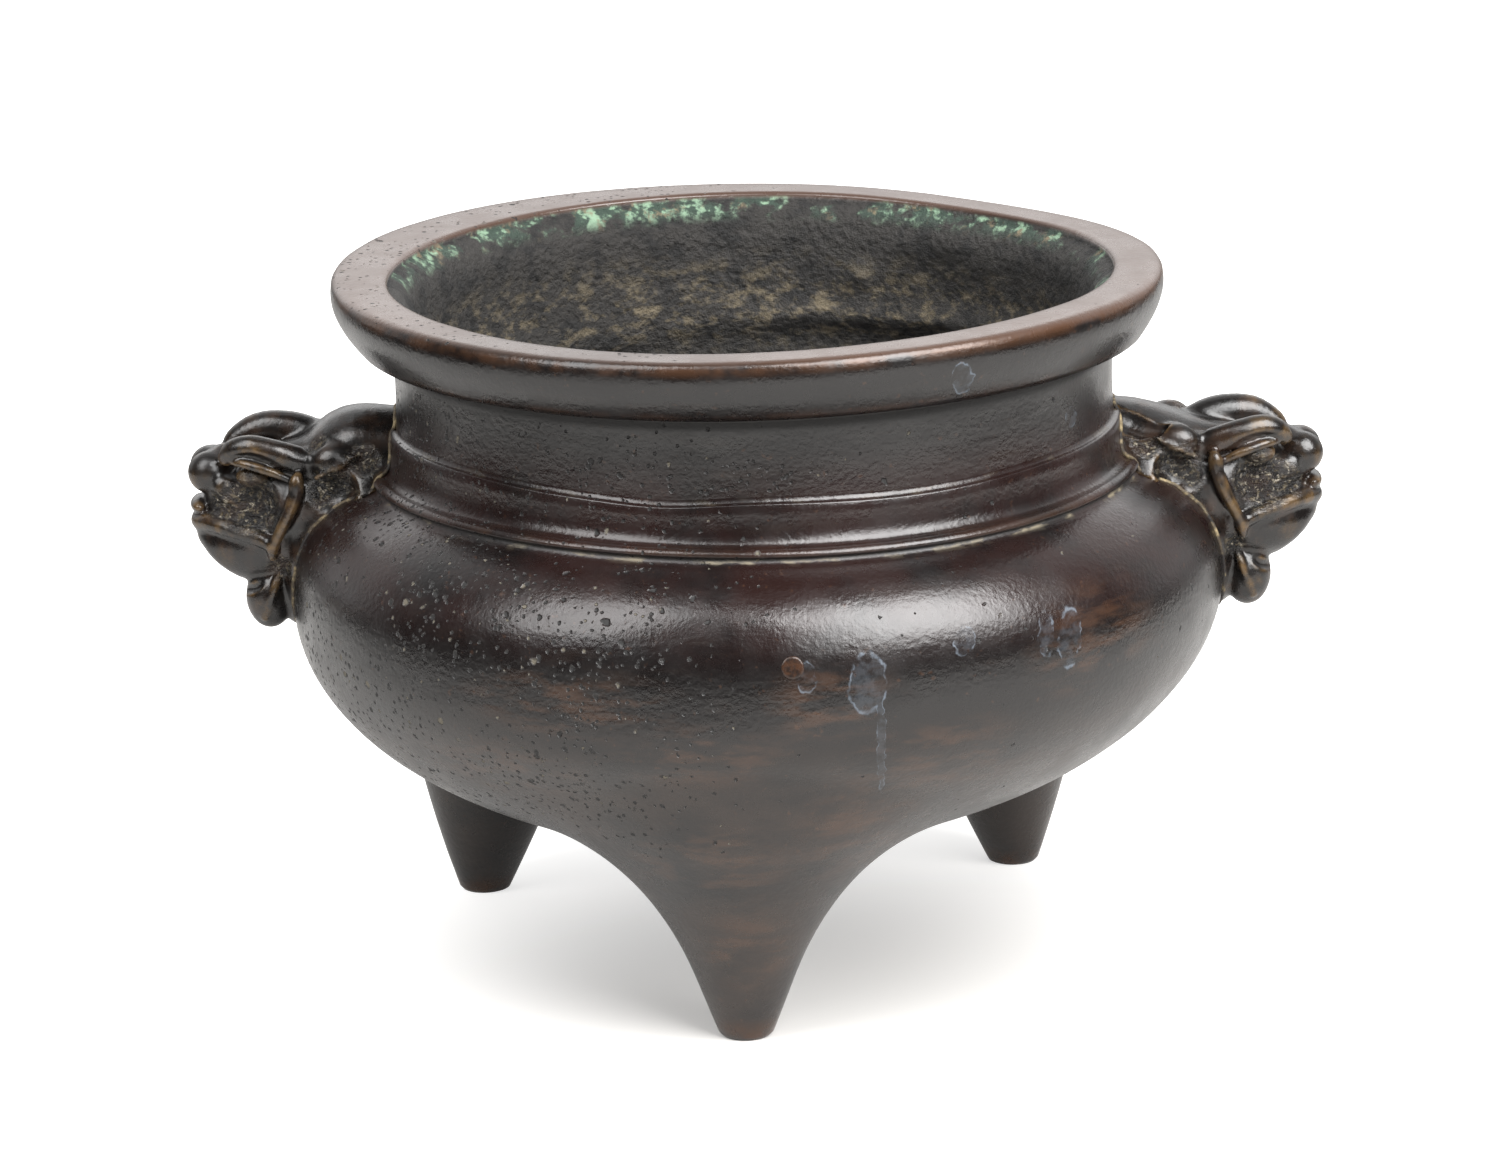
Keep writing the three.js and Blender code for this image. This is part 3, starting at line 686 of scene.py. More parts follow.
def makeVessel(material):
    v = body
    outerSkin = {"radius": v.bellyRadius, "depth": v.bellyDepth, "footHeight": 0, "rings": v.outsideRings}
    innerSkin = {"radius": v.bellyRadius - v.wall, "depth": v.bellyDepth - v.wall,
                 "footHeight": v.footHollowHeight, "rings": v.insideRings}
    outside = np.concatenate([bellyQuads(outerSkin), turnedQuads(outerProfile())])
    cavity = np.concatenate([bellyQuads(innerSkin)[:, ::-1], turnedQuads(innerProfile())])
    points, quads = weld(np.concatenate([outside, cavity]))
    inside = np.zeros(len(points))
    inside[quads[len(outside):]] = 1
    inside[points[:, 2] > v.rimHeight - v.mouthRound / 2] = 0
    worn, dusty, paintedShade = traces(points, inside)
    points = coreFlaws(handCast(points, inside), inside)
    made = meshOf("cast_vessel", points, quads)
    x, y, z = points.T
    front = y < 0
    sole = 1 - smoothStep(*fades["sole"], z)
    plugX, plugZ = plugPlace()
    atPlug = (1 - smoothStep(*fades["plug"], np.hypot(x - plugX, z - plugZ))) * front
    browned = np.zeros(len(points))
    for atX, atZ, halfWidth, halfHeight in brownPlaces:
        away = np.hypot((x - atX) / halfWidth, (z - atZ) / halfHeight)
        browned = np.maximum(browned, smoothStep(*fades["browned"], away) * front)
    giveAttributes(made, {
        "inside": inside,
        "browned": browned,
        "rough": inside * smoothStep(v.rimHeight, v.rimHeight - fades["crust"], z),
        "wear": np.maximum(worn, sole * (1 - inside)),
        "hollow": dusty,
        "painted_shade": paintedShade,
        "held": np.maximum(sole, atPlug),
    })
    return applyTree(made, castSurface, {
        "Unevenness": 0.13 * mm, "Unevenness Width": 9 * mm, "Crust Depth": 1.9 * mm,
        "Crust Width": 4.2 * mm, "Seed": 3.0, "Material": material,
    })


plug = {"radius": 1.65, "rise": 5.3, "angle": 273.6, "crown": 0.12, "edge": 0.15, "sides": 48}


def plugPlace():
    low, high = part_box("belly_plug")
    middle = (low + high) / 2 / mm
    return middle.x, middle.z


# Old bronze with a polished brown-black patina: a thin dark oxide skin, glossy from waxing,
# rubbed to reddish brown metal on edges, with pale dust in creases and in some of its pits.
vesselLook = {
    "dark": "#0d0a0a",
    "red": "#1e100e",
    "brown": "#29201b",
    "worn": "#553a28",
    "lipTop": "#46342b",
    "dust": "#8f846c",
    "paleDust": "#585246",
    "drip": "#76828f",
    "crust": "#25221f",
    # the black of the cavity's crust, also used for the painted shade under the lip and in the groove below
    # the collar
    "crustPale": "#736750",
    "crustBlack": "#0c0a09",
    "verdigris": "#293b30",
    "verdigrisPale": "#809c82",
    "roughness": 0.27,
    "metallic": 0.05,
    "specular": 0.66,
    "dustFrom": 0.89,  # of the pits, the share without dust
}

# Heights with a colour or pits of their own: from, to and how soft the edges are
vesselBands = {
    "red": (64, 86, 5), "brown": (-20, 48, 9), "lipTop": (104.3, 110, 0.5), "pitted": (34, 92, 4),
    "neck": (84, 89, 1.5), "paleCrust": (82, 94, 5), "green": (102.2, 106, 1.3),
}

# Where the patina is rubbed brown on the front: across, up, half width, half height
brownPlaces = [(-27, 56, 15, 5), (-9, 49, 12, 5), (10, 57, 9, 6), (48, 60, 9, 8), (24, 46, 14, 7),
               (-38, 44, 12, 5), (-3, 16, 7, 7), (-8, 31, 12, 7), (14, 34, 10, 9)]

# Dried pale marks where liquid ran down: across, up, half width, half height
dripMarks = [(29.5, 99.8, 1.4, 2.5), (15.0, 59.4, 2.6, 4.3), (29.0, 63.8, 1.5, 1.9), (41.0, 62.6, 1.1, 3.0),
             (44.4, 61.2, 1.6, 4.2), (6.3, 60.8, 1.3, 2.3), (16.8, 50.0, 0.6, 8.5), (46.5, 87.4, 0.9, 1.4)]


def startMaterial(name):
    material, add = emptied(bpy.data.materials.new(name))
    place = add("TexCoord").outputs["Object"]
    return material, add, add("VectorMath", {0: place, "Scale": 1 / mm}, operation="SCALE")


# Patches of noise from 0 to their strength, whose size is in millimetres
def patches(add, where, size, low, high, detail=3.0, stretch=None, seed=0.0, strength=1.0, within=()):
    if stretch:
        where = add("Mapping", {"Vector": where, "Scale": stretch})
    noise = add("TexNoise", (where, seed, 1 / size, detail, 0.6), noise_dimensions="4D")
    share = add("MapRange", (noise, low, high, 0, strength), **smoothly)
    for zone in within:
        share = add("Math", (share, zone), operation="MULTIPLY")
    return share


# A band of values with soft edges
def band(add, value, low, high, edge):
    rising = add("MapRange", (value, low - edge, low + edge), **smoothly)
    falling = add("MapRange", (value, high + edge, high - edge), **smoothly)
    return add("Math", (rising, falling), operation="MULTIPLY")


# Colours or numbers laid one over another, each by its share
def layered(add, base, layers, kind="RGBA"):
    for over, share in layers:
        base = add("Mix", {"Factor": share, "A": base, "B": over}, data_type=kind)
    return base


# Places shifted at random by up to half the reach, which makes an outline ragged
def ragged(add, where, size, reach):
    noise = add("TexNoise", {"Vector": where, "Scale": 1 / size, "Detail": 4.0})
    shift = add("VectorMath", (noise.outputs["Color"], (-0.5, -0.5, -0.5)), operation="ADD")
    return add("VectorMath", (shift, (reach, reach, reach), where), operation="MULTIPLY_ADD")


# Pits at random places, more of them where the crowd is nearer 1, and the dust in some of them
def pitted(add, where, spacing, width, crowd):
    where = ragged(add, where, width, width * 0.9)
    cells = add("TexVoronoi", {"Vector": where, "Scale": 1 / spacing})
    draws = add("SeparateColor", (cells.outputs["Color"],)).outputs
    limit = add("Math", (1.0, crowd), operation="SUBTRACT")
    kept = add("Math", (draws[0], limit), operation="GREATER_THAN")
    reach = add("MapRange", (draws[1], 0, 1, 0.2 * width / spacing, 0.5 * width / spacing))
    near = add("Math", (cells, reach), operation="DIVIDE")
    depth = add("MapRange", (near, 1.1, 0.5), **smoothly)
    pits = add("Math", (depth, kept), operation="MULTIPLY")
    dusty = add("Math", (draws[2], vesselLook["dustFrom"]), operation="GREATER_THAN")
    return pits, add("Math", (pits, dusty), operation="MULTIPLY")


# Marks left by drops that ran down the front, ragged and broken: a thin film with a stronger rim
def drippings(add, where, front):
    warped = ragged(add, where, 1.6, 1.7)
    nearest = 9.0
    for across, up, halfWidth, halfHeight in dripMarks:
        placed = add("Mapping", {
            "Vector": warped, "Location": (-across / halfWidth, 0, -up / halfHeight),
            "Scale": (1 / halfWidth, 0, 1 / halfHeight),
        })
        away = add("VectorMath", (placed,), operation="LENGTH")
        nearest = add("Math", (nearest, away), operation="MINIMUM")
    film = add("MapRange", (nearest, 1.2, 0.8, 0, 0.2), **smoothly)
    mark = add("Math", (film, band(add, nearest, 0.93, 1.05, 0.06)), operation="MAXIMUM")
    return patches(add, where, 1.8, 0.4, 0.6, detail=6.0, seed=20.0, strength=0.46, within=[mark, front])


# Bumps laid one over another, each with its height pattern and its depth in millimetres
def raised(add, heights):
    relief = None
    for height, depth in heights:
        inputs = {"Height": height, "Distance": depth * mm}
        if relief:
            inputs["Normal"] = relief
        relief = add("Bump", inputs)
    return relief


def endMaterial(add, colour, roughness, metallic, relief, specular=0.5):
    shader = add("BsdfPrincipled", {
        "Base Color": colour, "Roughness": roughness, "Metallic": metallic, "Normal": relief,
        "Specular IOR Level": specular,
    })
    add("OutputMaterial", (shader,))


def vesselMaterial():
    look = SimpleNamespace(**vesselLook)
    material, add, where = startMaterial("waxed_brown_bronze")
    patch = partial(patches, add, where)
    x, y, z = add("SeparateXYZ", (where,)).outputs
    inside, wear, hollow, painted_shade, browned = (
        add("Attribute", attribute_name=name).outputs["Fac"]
        for name in ("inside", "wear", "hollow", "painted_shade", "browned"))
    at = SimpleNamespace(**{name: band(add, z, *limits) for name, limits in vesselBands.items()})
    front = add("Math", (y, -5.0), operation="LESS_THAN")
    red = patch(20, 0.32, 0.56, detail=5.0, seed=1.0, within=[at.red])
    brown = patch(17, 0.3, 0.62, detail=6.0, stretch=(1, 1, 1.8), seed=2.0, within=[at.brown])
    streaks = patch(5, 0.5, 0.72, detail=6.0, stretch=(0.35, 0.35, 2.6), seed=3.0, strength=0.3)
    spots = patch(4, 0.44, 0.62, detail=10.0, stretch=(0.5, 0.5, 1.8), seed=16.0, strength=0.32,
                  within=[browned])
    specks = patch(1.3, 0.64, 0.74, detail=2.0, seed=4.0, strength=0.25)
    rubbed = patch(6, 0.36, 0.6, detail=5.0, seed=5.0, strength=0.65, within=[wear])

    # casting pits, crowded at the left, some filled with pale dust
    leftSide = add("MapRange", (x, 6, -26, 0.03), **smoothly)
    crowd = patch(12, 0.34, 0.58, seed=6.0, strength=0.9, within=[leftSide, at.pitted])
    onNeck = patch(8, 0.3, 0.6, seed=18.0, strength=0.8, within=[at.neck, band(add, x, -22, 15, 5), front])
    onLip = patch(6, 0.35, 0.6, seed=19.0, strength=0.5, within=[at.lipTop, leftSide])
    for more in (onNeck, onLip):
        crowd = add("Math", (crowd, more), operation="MAXIMUM")
    outside = add("Math", (1.0, inside), operation="SUBTRACT")
    crowd = add("Math", (crowd, outside), operation="MULTIPLY")
    finePits, fineDust = pitted(add, where, 1.0, 0.75, crowd)
    widePits, wideDust = pitted(add, where, 2.3, 1.3, crowd)
    pits = add("Math", (finePits, widePits), operation="MAXIMUM")
    dust = add("Math", (fineDust, wideDust), operation="MAXIMUM")

    creases = patch(1.6, 0.5, 0.64, detail=7.0, stretch=(0.4, 0.4, 1.5), seed=7.0, strength=0.65,
                    within=[hollow])
    drips = drippings(add, where, front)
    backward = add("MapRange", (y, -30, 30, 0.35))
    green = patch(6, 0.47, 0.56, detail=10.0, seed=10.0, within=[at.green, backward])
    verdigris = layered(add, look.verdigris, [
        (look.verdigrisPale, patch(2.2, 0.49, 0.61, detail=10.0, seed=11.0)),
        (look.crustPale, patch(2.6, 0.54, 0.66, detail=6.0, seed=17.0)),
    ])
    paleCrust = patch(2.6, 0.47, 0.66, detail=12.0, stretch=(1, 1, 1.4), seed=9.0, strength=0.65,
                      within=[at.paleCrust])
    crust = layered(add, look.crust, [
        (look.crustBlack, patch(3.2, 0.46, 0.62, detail=9.0, seed=8.0)), (look.crustPale, paleCrust),
        (verdigris, green),
    ])
    # painted shade: the black crust colour is laid on under the lip and in the groove below the collar
    colour = layered(add, look.dark, [
        (look.red, red), (look.brown, brown), (look.brown, streaks), (look.worn, spots), (look.worn, specks),
        (look.lipTop, at.lipTop), (look.worn, rubbed), (look.crustBlack, painted_shade), (look.crustBlack, pits),
        (look.paleDust, dust), (look.dust, creases), (look.drip, drips), (crust, inside),
    ])

    relief = raised(add, [
        (patch(2.6, 0.2, 0.8, detail=2.0, stretch=(0.5, 0.5, 1.6), seed=13.0), 0.022),
        (patch(0.8, 0.2, 0.8, seed=12.0), 0.03),
        (add("Math", (1.0, pits), operation="SUBTRACT"), 0.2),
        (patch(1.1, 0.1, 0.9, detail=10.0, seed=14.0, within=[inside]), 0.8),
    ])
    gloss = patch(7, 0.3, 0.7, detail=5.0, seed=15.0)
    gloss = add("MapRange", (gloss, 0, 1, look.roughness - 0.04, look.roughness + 0.06))
    gloss = layered(add, gloss, [(0.6, drips), (0.7, pits), (0.7, creases), (0.8, painted_shade), (0.75, inside)],
                    "FLOAT")
    metallic = layered(add, look.metallic, [(0.5, rubbed), (0.0, inside)], "FLOAT")
    endMaterial(add, colour, gloss, metallic, relief, look.specular)
    return material


# Lion masks, carved as rounded forms in a grid and given one closed skin

maskGrid = {
    "step": 0.32,
    "low": (50.0, -16.2, 48.6),
    "high": (88.0, 16.2, 86.6),
    "sink": 0.2,  # how far the mask's back lies inside the shoulder
    "spanSteps": 4,
    "proudRounds": 8,
    "crestPercent": (70, 96),
    "crestWear": 0.7,
    "seamHeight": 68,
    "seamTop": 86,
    "seamReach": (3, 24),
    "seamStart": 60.0,
    "seamTurns": 220,
    "settleRounds": 12,
    "smoothRounds": 6,
}

# A form of the mask that is a ball, or a roll along a path whose points end with its radius
def ball(at, size, blend, **rest):
    return {"at": at, "size": size, "blend": blend, **rest}


def roll(path, blend, **rest):
    return {"path": path, "blend": blend, **rest}


# Places run outwards, sideways and up, for the right-hand mask. A form stands on both sides,
# unless it is oneSided: then below zero is the front. Some forms are on one mask only, and
# some lie higher on the left mask.
maskForms = {
    "root": ball((59.5, 0, 69.2), (12.4, 14.0, 12.2), 0),
    "lower root": ball((63, 0, 62.5), (11.2, 13.0, 10.5), 1.5),
    "beard root": ball((69.6, 0, 57), (4.8, 7.8, 6.2), 2),
    "saddle": roll([
        (52, 0, 78.7, 4.8), (57.5, 0, 78.3, 4.8), (62.5, 0, 76.9, 4.6), (66, 0, 75.8, 4.4),
    ], 1.5, only="right", widen=1.55),
    "high saddle": roll([
        (52, 0, 79.0, 4.8), (57, 0, 79.8, 5.0), (61.5, 0, 79.6, 5.2), (65, 0, 77.6, 4.8),
        (68, 0, 75.8, 4.4),
    ], 1.5, only="left", widen=1.6),
    "skull": ball((70, 0, 70.5), (9.0, 9.4, 8.6), 2.2),
    "muzzle": ball((78, 0, 71), (6.4, 6.6, 5.6), 1.6),
    "jaw": ball((75.2, 0, 64.6), (10.6, 8.6, 6.6), 1.2),
    "under jaw": roll([(91.6, 0, 60.8, 7), (81.6, 0, 51.0, 7)], 1.4, widen=2.4, cut=True),
    "side hollow": ball((64.8, 12.6, 75.0), (4.6, 4.4, 4.0), 0.9, cut=True),
    "flank hollow": ball((67.0, 13.4, 70.4), (2.6, 3.0, 4.2), 1.4, cut=True),
    "cheek hollow": ball((77.0, 9.4, 72.4), (4.4, 3.6, 4.8), 0.8, cut=True),
    "mouth": roll([
        (75.4, 9.0, 68.6, 0.7), (78.4, 7.9, 69.7, 1.1), (81.4, 6.2, 70.4, 1.1), (84.6, 3.4, 70.9, 0.7),
        (87.0, 0, 71.0, 0.5),
    ], 0.6, cut=True),
    "far crest": roll([
        (63.5, 3.0, 75.6, 2.8), (68.0, 4.2, 78.2, 3.0), (72.0, 4.8, 79.4, 2.9), (76.0, 5.0, 79.4, 2.6),
        (79.3, 4.8, 78.0, 2.0), (80.8, 4.2, 76.2, 1.3),
    ], 1.1, oneSided=True, leftRise=1.0),
    "near brow": roll([
        (64.6, -5.4, 76.0, 1.8), (68.0, -6.6, 77.2, 2.2), (71.2, -7.2, 78.4, 2.2), (74.0, -7.2, 79.3, 2.1),
        (76.6, -6.8, 79.8, 2.0), (78.9, -6.1, 79.3, 1.8), (80.2, -5.2, 78.0, 1.4),
    ], 0.8, oneSided=True, leftRise=0.6),
    "forehead": ball((72.0, -1.6, 75.8), (6.4, 3.6, 3.2), 1.6, oneSided=True, leftRise=0.8),
    "eye slot": roll([
        (70.6, -9.9, 76.0, 0.6), (73.4, -9.8, 77.6, 1.0), (76.2, -9.2, 78.5, 1.0), (78.4, -8.2, 78.5, 0.6),
    ], 0.4, cut=True, oneSided=True, leftRise=0.6),
    "near eyelid": roll([
        (70.2, -9.0, 75.0, 0.5), (72.6, -9.2, 76.2, 0.7), (75.2, -8.9, 77.1, 0.75), (77.6, -8.0, 77.6, 0.7),
        (79.2, -6.9, 77.6, 0.5),
    ], 0.5, oneSided=True, leftRise=0.6),
    "far eyelid": roll([
        (71.2, 8.0, 75.0, 0.4), (74.2, 8.2, 76.4, 0.6), (77.2, 7.6, 76.8, 0.6), (79.6, 6.4, 76.2, 0.5),
    ], 0.35, oneSided=True),
    "eye": ball((76.2, 6.2, 75.6), (2.8, 1.9, 1.9), 0.5),
    "nose bridge": ball((80.6, 0, 76.0), (2.9, 2.6, 2.6), 1.1, leftRise=1.0),
    "nostril": ball((83.2, 2.0, 74.6), (3.4, 3.2, 3.3), 1.3, leftRise=1.0),
    "nose wing": ball((80.8, 4.6, 72.8), (1.9, 1.4, 1.8), 0.7, leftRise=1.0),
    "upper teeth": ball((85.0, 0, 70.0), (1.6, 3.9, 1.3), 0.4, leftRise=0.3),
    "lower lip": roll([
        (73.8, 8.9, 65.6, 1.0), (76.6, 8.0, 66.9, 1.3), (80.2, 6.6, 67.8, 1.4), (83.2, 4.3, 68.2, 1.45),
        (84.9, 1.8, 67.9, 1.5), (85.1, 0, 67.8, 1.5),
    ], 0.6),
    "chin": ball((82.6, 0, 66.2), (3.0, 4.2, 2.5), 1.2),
    "strap": roll([
        (69.2, 9.5, 76.4, 0.8), (69.7, 10.0, 73.6, 1.15), (70.8, 10.2, 70.7, 1.1), (72.2, 9.9, 68.0, 1.0),
        (73.4, 9.4, 65.4, 0.9), (73.6, 8.8, 63.4, 0.6),
    ], 0.8),
    "strap head": ball((69.4, 10.0, 75.0), (1.3, 1.1, 1.9), 0.4),
    "ear": ball((63.8, 7.4, 78.2), (3.8, 3.0, 2.8), 0.9),
    "ear fold": roll([(60.2, 9.4, 79.4, 0.5), (63.0, 10.0, 77.8, 0.7), (66.4, 9.8, 76.2, 0.6)], 0.5),
    "beard lobe": ball((74.7, 4.4, 56.6), (3.7, 3.6, 5.1), 0.7),
    "far lobe": ball((76.2, 3.8, 54.4), (2.7, 2.8, 4.0), 0.6, only="left", oneSided=True),
    "beard ridge": roll([(72.8, 7.2, 61.0, 0.6), (74.0, 7.6, 57.6, 0.8), (75.4, 7.0, 53.9, 0.7)], 0.5),
    "beard fold": roll([
        (74.6, 8.0, 60.8, 0.5), (76.6, 7.2, 58.6, 0.6), (78.6, 5.2, 57.8, 0.6),
    ], 0.5, cut=True),
    "saddle notch": roll([
        (53.6, -6.4, 84.0, 3.0), (57.0, -7.4, 82.0, 2.7), (60.0, -7.8, 80.6, 1.8), (63.0, -7.2, 79.8, 0.3),
    ], 0.3, only="right", oneSided=True, cut=True),
}

# Places rubbed through to metal: outwards, sideways, up, and reach
rubbedPlaces = [(80.2, 4.6, 78.6, 2.6), (76.5, 5, 81.2, 2.4), (76.5, 8.4, 79.6, 3.2),
                (79.6, 6.6, 78.4, 2.4), (86.0, 3.0, 74.4, 2.6), (84.6, 4.6, 68.2, 2.6),
                (81.0, 7.4, 67.6, 2.4), (85.8, 1.5, 66.6, 2.4), (80.6, 6.2, 63.6, 2.6),
                (70.4, 11.0, 72.0, 1.8), (72.0, 10.8, 68.6, 2.0), (73.4, 9.8, 65.2, 1.6),
                (75.4, 7.8, 55.4, 2.0), (74.2, 8.4, 59.0, 1.6), (64.6, 10.2, 76.8, 2.0)]

# Rough places left by the carver's tools and the mould: outwards, sideways, up, and reach
roughPlaces = [(61.6, 12.4, 72.6, 3.4), (77.2, 8, 71.8, 5.8), (64.6, 11, 74.4, 4.6), (72.6, 9, 61.6, 2.8),
               (66.5, 6.5, 80.4, 2.4), (80.6, 5, 71.2, 3.4), (59, 10, 79, 3.4)]


def ballField(x, y, z, form):
    places = [(value - centre) / size for value, centre, size in zip((x, y, z), form["at"], form["size"])]
    near = np.sqrt(sum(value * value for value in places))
    slope = np.sqrt(sum((value / size) ** 2 for value, size in zip(places, form["size"])))
    return near * (near - 1) / np.maximum(slope, 1e-6)


# A smooth curve through the points of a path
def smoothPath(path):
    ends = np.array([path[0], *path, path[-1]], float)
    share = (np.arange(maskGrid["spanSteps"]) / maskGrid["spanSteps"])[:, None]
    spans = []
    for a, b, c, d in zip(ends, ends[1:], ends[2:], ends[3:]):
        spans.append(b + ((c - a) * share + (2 * a - 5 * b + 4 * c - d) * share ** 2
                          + (3 * b - a - 3 * c + d) * share ** 3) / 2)
    return np.vstack([*spans, ends[-1:]])


def rollField(x, y, z, form):
    y = y / form.get("widen", 1)
    field = np.full_like(x, 1e3)
    points = smoothPath(form["path"])
    for start, end in zip(points, points[1:]):
        along = end[:3] - start[:3]
        offsets = [value - a for value, a in zip((x, y, z), start)]
        share = np.clip(sum(o * a for o, a in zip(offsets, along)) / sum(a * a for a in along), 0, 1)
        away = np.sqrt(sum((o - share * a) ** 2 for o, a in zip(offsets, along)))
        field = np.minimum(field, away - (start[3] + share * (end[3] - start[3])))
    return field


# The part of the grid that a form can change
def reachOf(form, axes):
    if "path" in form:
        points = smoothPath(form["path"])
        low, high = (points[:, :3] - points[:, 3:]).min(axis=0), (points[:, :3] + points[:, 3:]).max(axis=0)
    else:
        low, high = np.array(form["at"]) - form["size"], np.array(form["at"]) + form["size"]
    margin = form["blend"] * 1.5 + 1
    low, high = low - margin, high + margin
    widen = form.get("widen", 1)
    low[1], high[1] = low[1] * widen, high[1] * widen
    if not form.get("oneSided"):
        low[1] = -high[1]
    return tuple(slice(*np.searchsorted(axis, (a, b))) for axis, a, b in zip(axes, low, high))


# How far a place lies outside the shoulder, collar and neck
def shoulderDistance(x, y, z):
    profile = outerProfile()
    profile = profile[profile[:, 1] < neckTop]
    low = body.bellyHeight - np.linspace(body.bellyDepth * 0.5, 0.3, 40)
    lowRadius = body.bellyRadius * np.sqrt(1 - ((body.bellyHeight - low) / body.bellyDepth) ** 2)
    heights = np.concatenate([low, np.maximum.accumulate(profile[:, 1]) + np.arange(len(profile)) * 1e-6])
    radii = np.concatenate([lowRadius, profile[:, 0]])
    slope = np.hypot(1, np.gradient(radii, heights).clip(-4, 4))
    slope = np.convolve(np.pad(slope, 3, mode="edge"), np.ones(7) / 7, mode="valid")
    return (np.hypot(x, y) - np.interp(z, heights, radii)) / np.interp(z, heights, slope)


def maskField(forms):
    axes = [np.arange(low, high, maskGrid["step"], dtype=np.float32)
            for low, high in zip(maskGrid["low"], maskGrid["high"])]
    x, y, z = np.meshgrid(*axes, indexing="ij")
    field = np.full(x.shape, 50.0)
    for form in forms:
        reach = reachOf(form, axes)
        across = y[reach] if form.get("oneSided") else np.abs(y[reach])
        shape = rollField if "path" in form else ballField
        part = shape(x[reach], across, z[reach], form)
        if form.get("cut"):
            field[reach] = -smoothLower(-field[reach], part, form["blend"])
        else:
            field[reach] = smoothLower(field[reach], part, form["blend"])
    return field, np.maximum(field, -maskGrid["sink"] - shoulderDistance(x, y, z))


# One closed skin of quads where a gridded field changes sign
def skinOf(field, low, step):
    solid = field < 0
    size = np.array(field.shape) - 1
    corner = np.array([(i, j, k) for i in (0, 1) for j in (0, 1) for k in (0, 1)])
    count = sum(solid[i:i + size[0], j:j + size[1], k:k + size[2]].astype(np.int8) for i, j, k in corner)
    cells = np.argwhere((count > 0) & (count < 8))
    index = np.full(size, -1)
    index[tuple(cells.T)] = np.arange(len(cells))
    total = np.zeros((len(cells), 3))
    hits = np.zeros((len(cells), 1))
    for a in corner:
        for axis in range(3):
            if a[axis]:
                continue
            b = a + np.eye(3, dtype=int)[axis]
            valueA, valueB = field[tuple((cells + a).T)], field[tuple((cells + b).T)]
            crosses = (valueA < 0) != (valueB < 0)
            share = np.where(crosses, valueA / np.where(crosses, valueA - valueB, 1), 0)[:, None]
            total += np.where(crosses[:, None], a + share * (b - a), 0)
            hits += crosses[:, None]
    points = low + (cells + total / hits) * step
    quads = []
    for axis in range(3):
        u, v = np.eye(3, dtype=int)[(axis + 1) % 3], np.eye(3, dtype=int)[(axis + 2) % 3]
        e = np.eye(3, dtype=int)[axis]
        here = solid[tuple(slice(0, n - d) for n, d in zip(field.shape, e))]
        there = solid[tuple(slice(d, n) for n, d in zip(field.shape, e))]
        edge = np.argwhere(here != there)
        quad = np.stack([index[tuple((edge + d).T)] for d in (-u - v, -v, 0 * u, -u)], axis=1)
        leaving = here[tuple(edge.T)]
        quads.append(np.where(leaving[:, None], quad, quad[:, ::-1]))
    return points, np.concatenate(quads)


# The line round the root where the mask meets the shoulder
def seamLine(field):
    low, step = np.array(maskGrid["low"]), maskGrid["step"]
    turns = np.linspace(0, 2 * math.pi, maskGrid["seamTurns"], endpoint=False)
    reaches = np.arange(*maskGrid["seamReach"], step / 2)
    line = []
    for turn in turns:
        y, z = reaches * math.cos(turn), maskGrid["seamHeight"] + reaches * math.sin(turn)
        y, z = y[z < maskGrid["seamTop"]], z[z < maskGrid["seamTop"]]
        x = np.full_like(y, maskGrid["seamStart"])
        for _ in range(maskGrid["settleRounds"]):
            x -= shoulderDistance(x, y, z)
        at = np.clip(np.round((np.stack([x, y, z], axis=1) - low) / step).astype(int), 0,
                     np.array(field.shape) - 1)
        out = np.flatnonzero(field[tuple(at.T)] > 0)
        last = out[0] if len(out) else len(y) - 1
        line.append((x[last], y[last], z[last]))
    line = np.array(line)
    for _ in range(maskGrid["smoothRounds"]):
        line = (np.roll(line, 1, axis=0) + 2 * line + np.roll(line, -1, axis=0)) / 4
    return line


# The form as it stands on the left mask
def onLeft(form):
    rise = form.get("leftRise", 0)
    if "path" in form:
        return {**form, "path": [(x, y, z + rise, radius) for x, y, z, radius in form["path"]]}
    x, y, z = form["at"]
    return {**form, "at": (x, y, z + rise)}


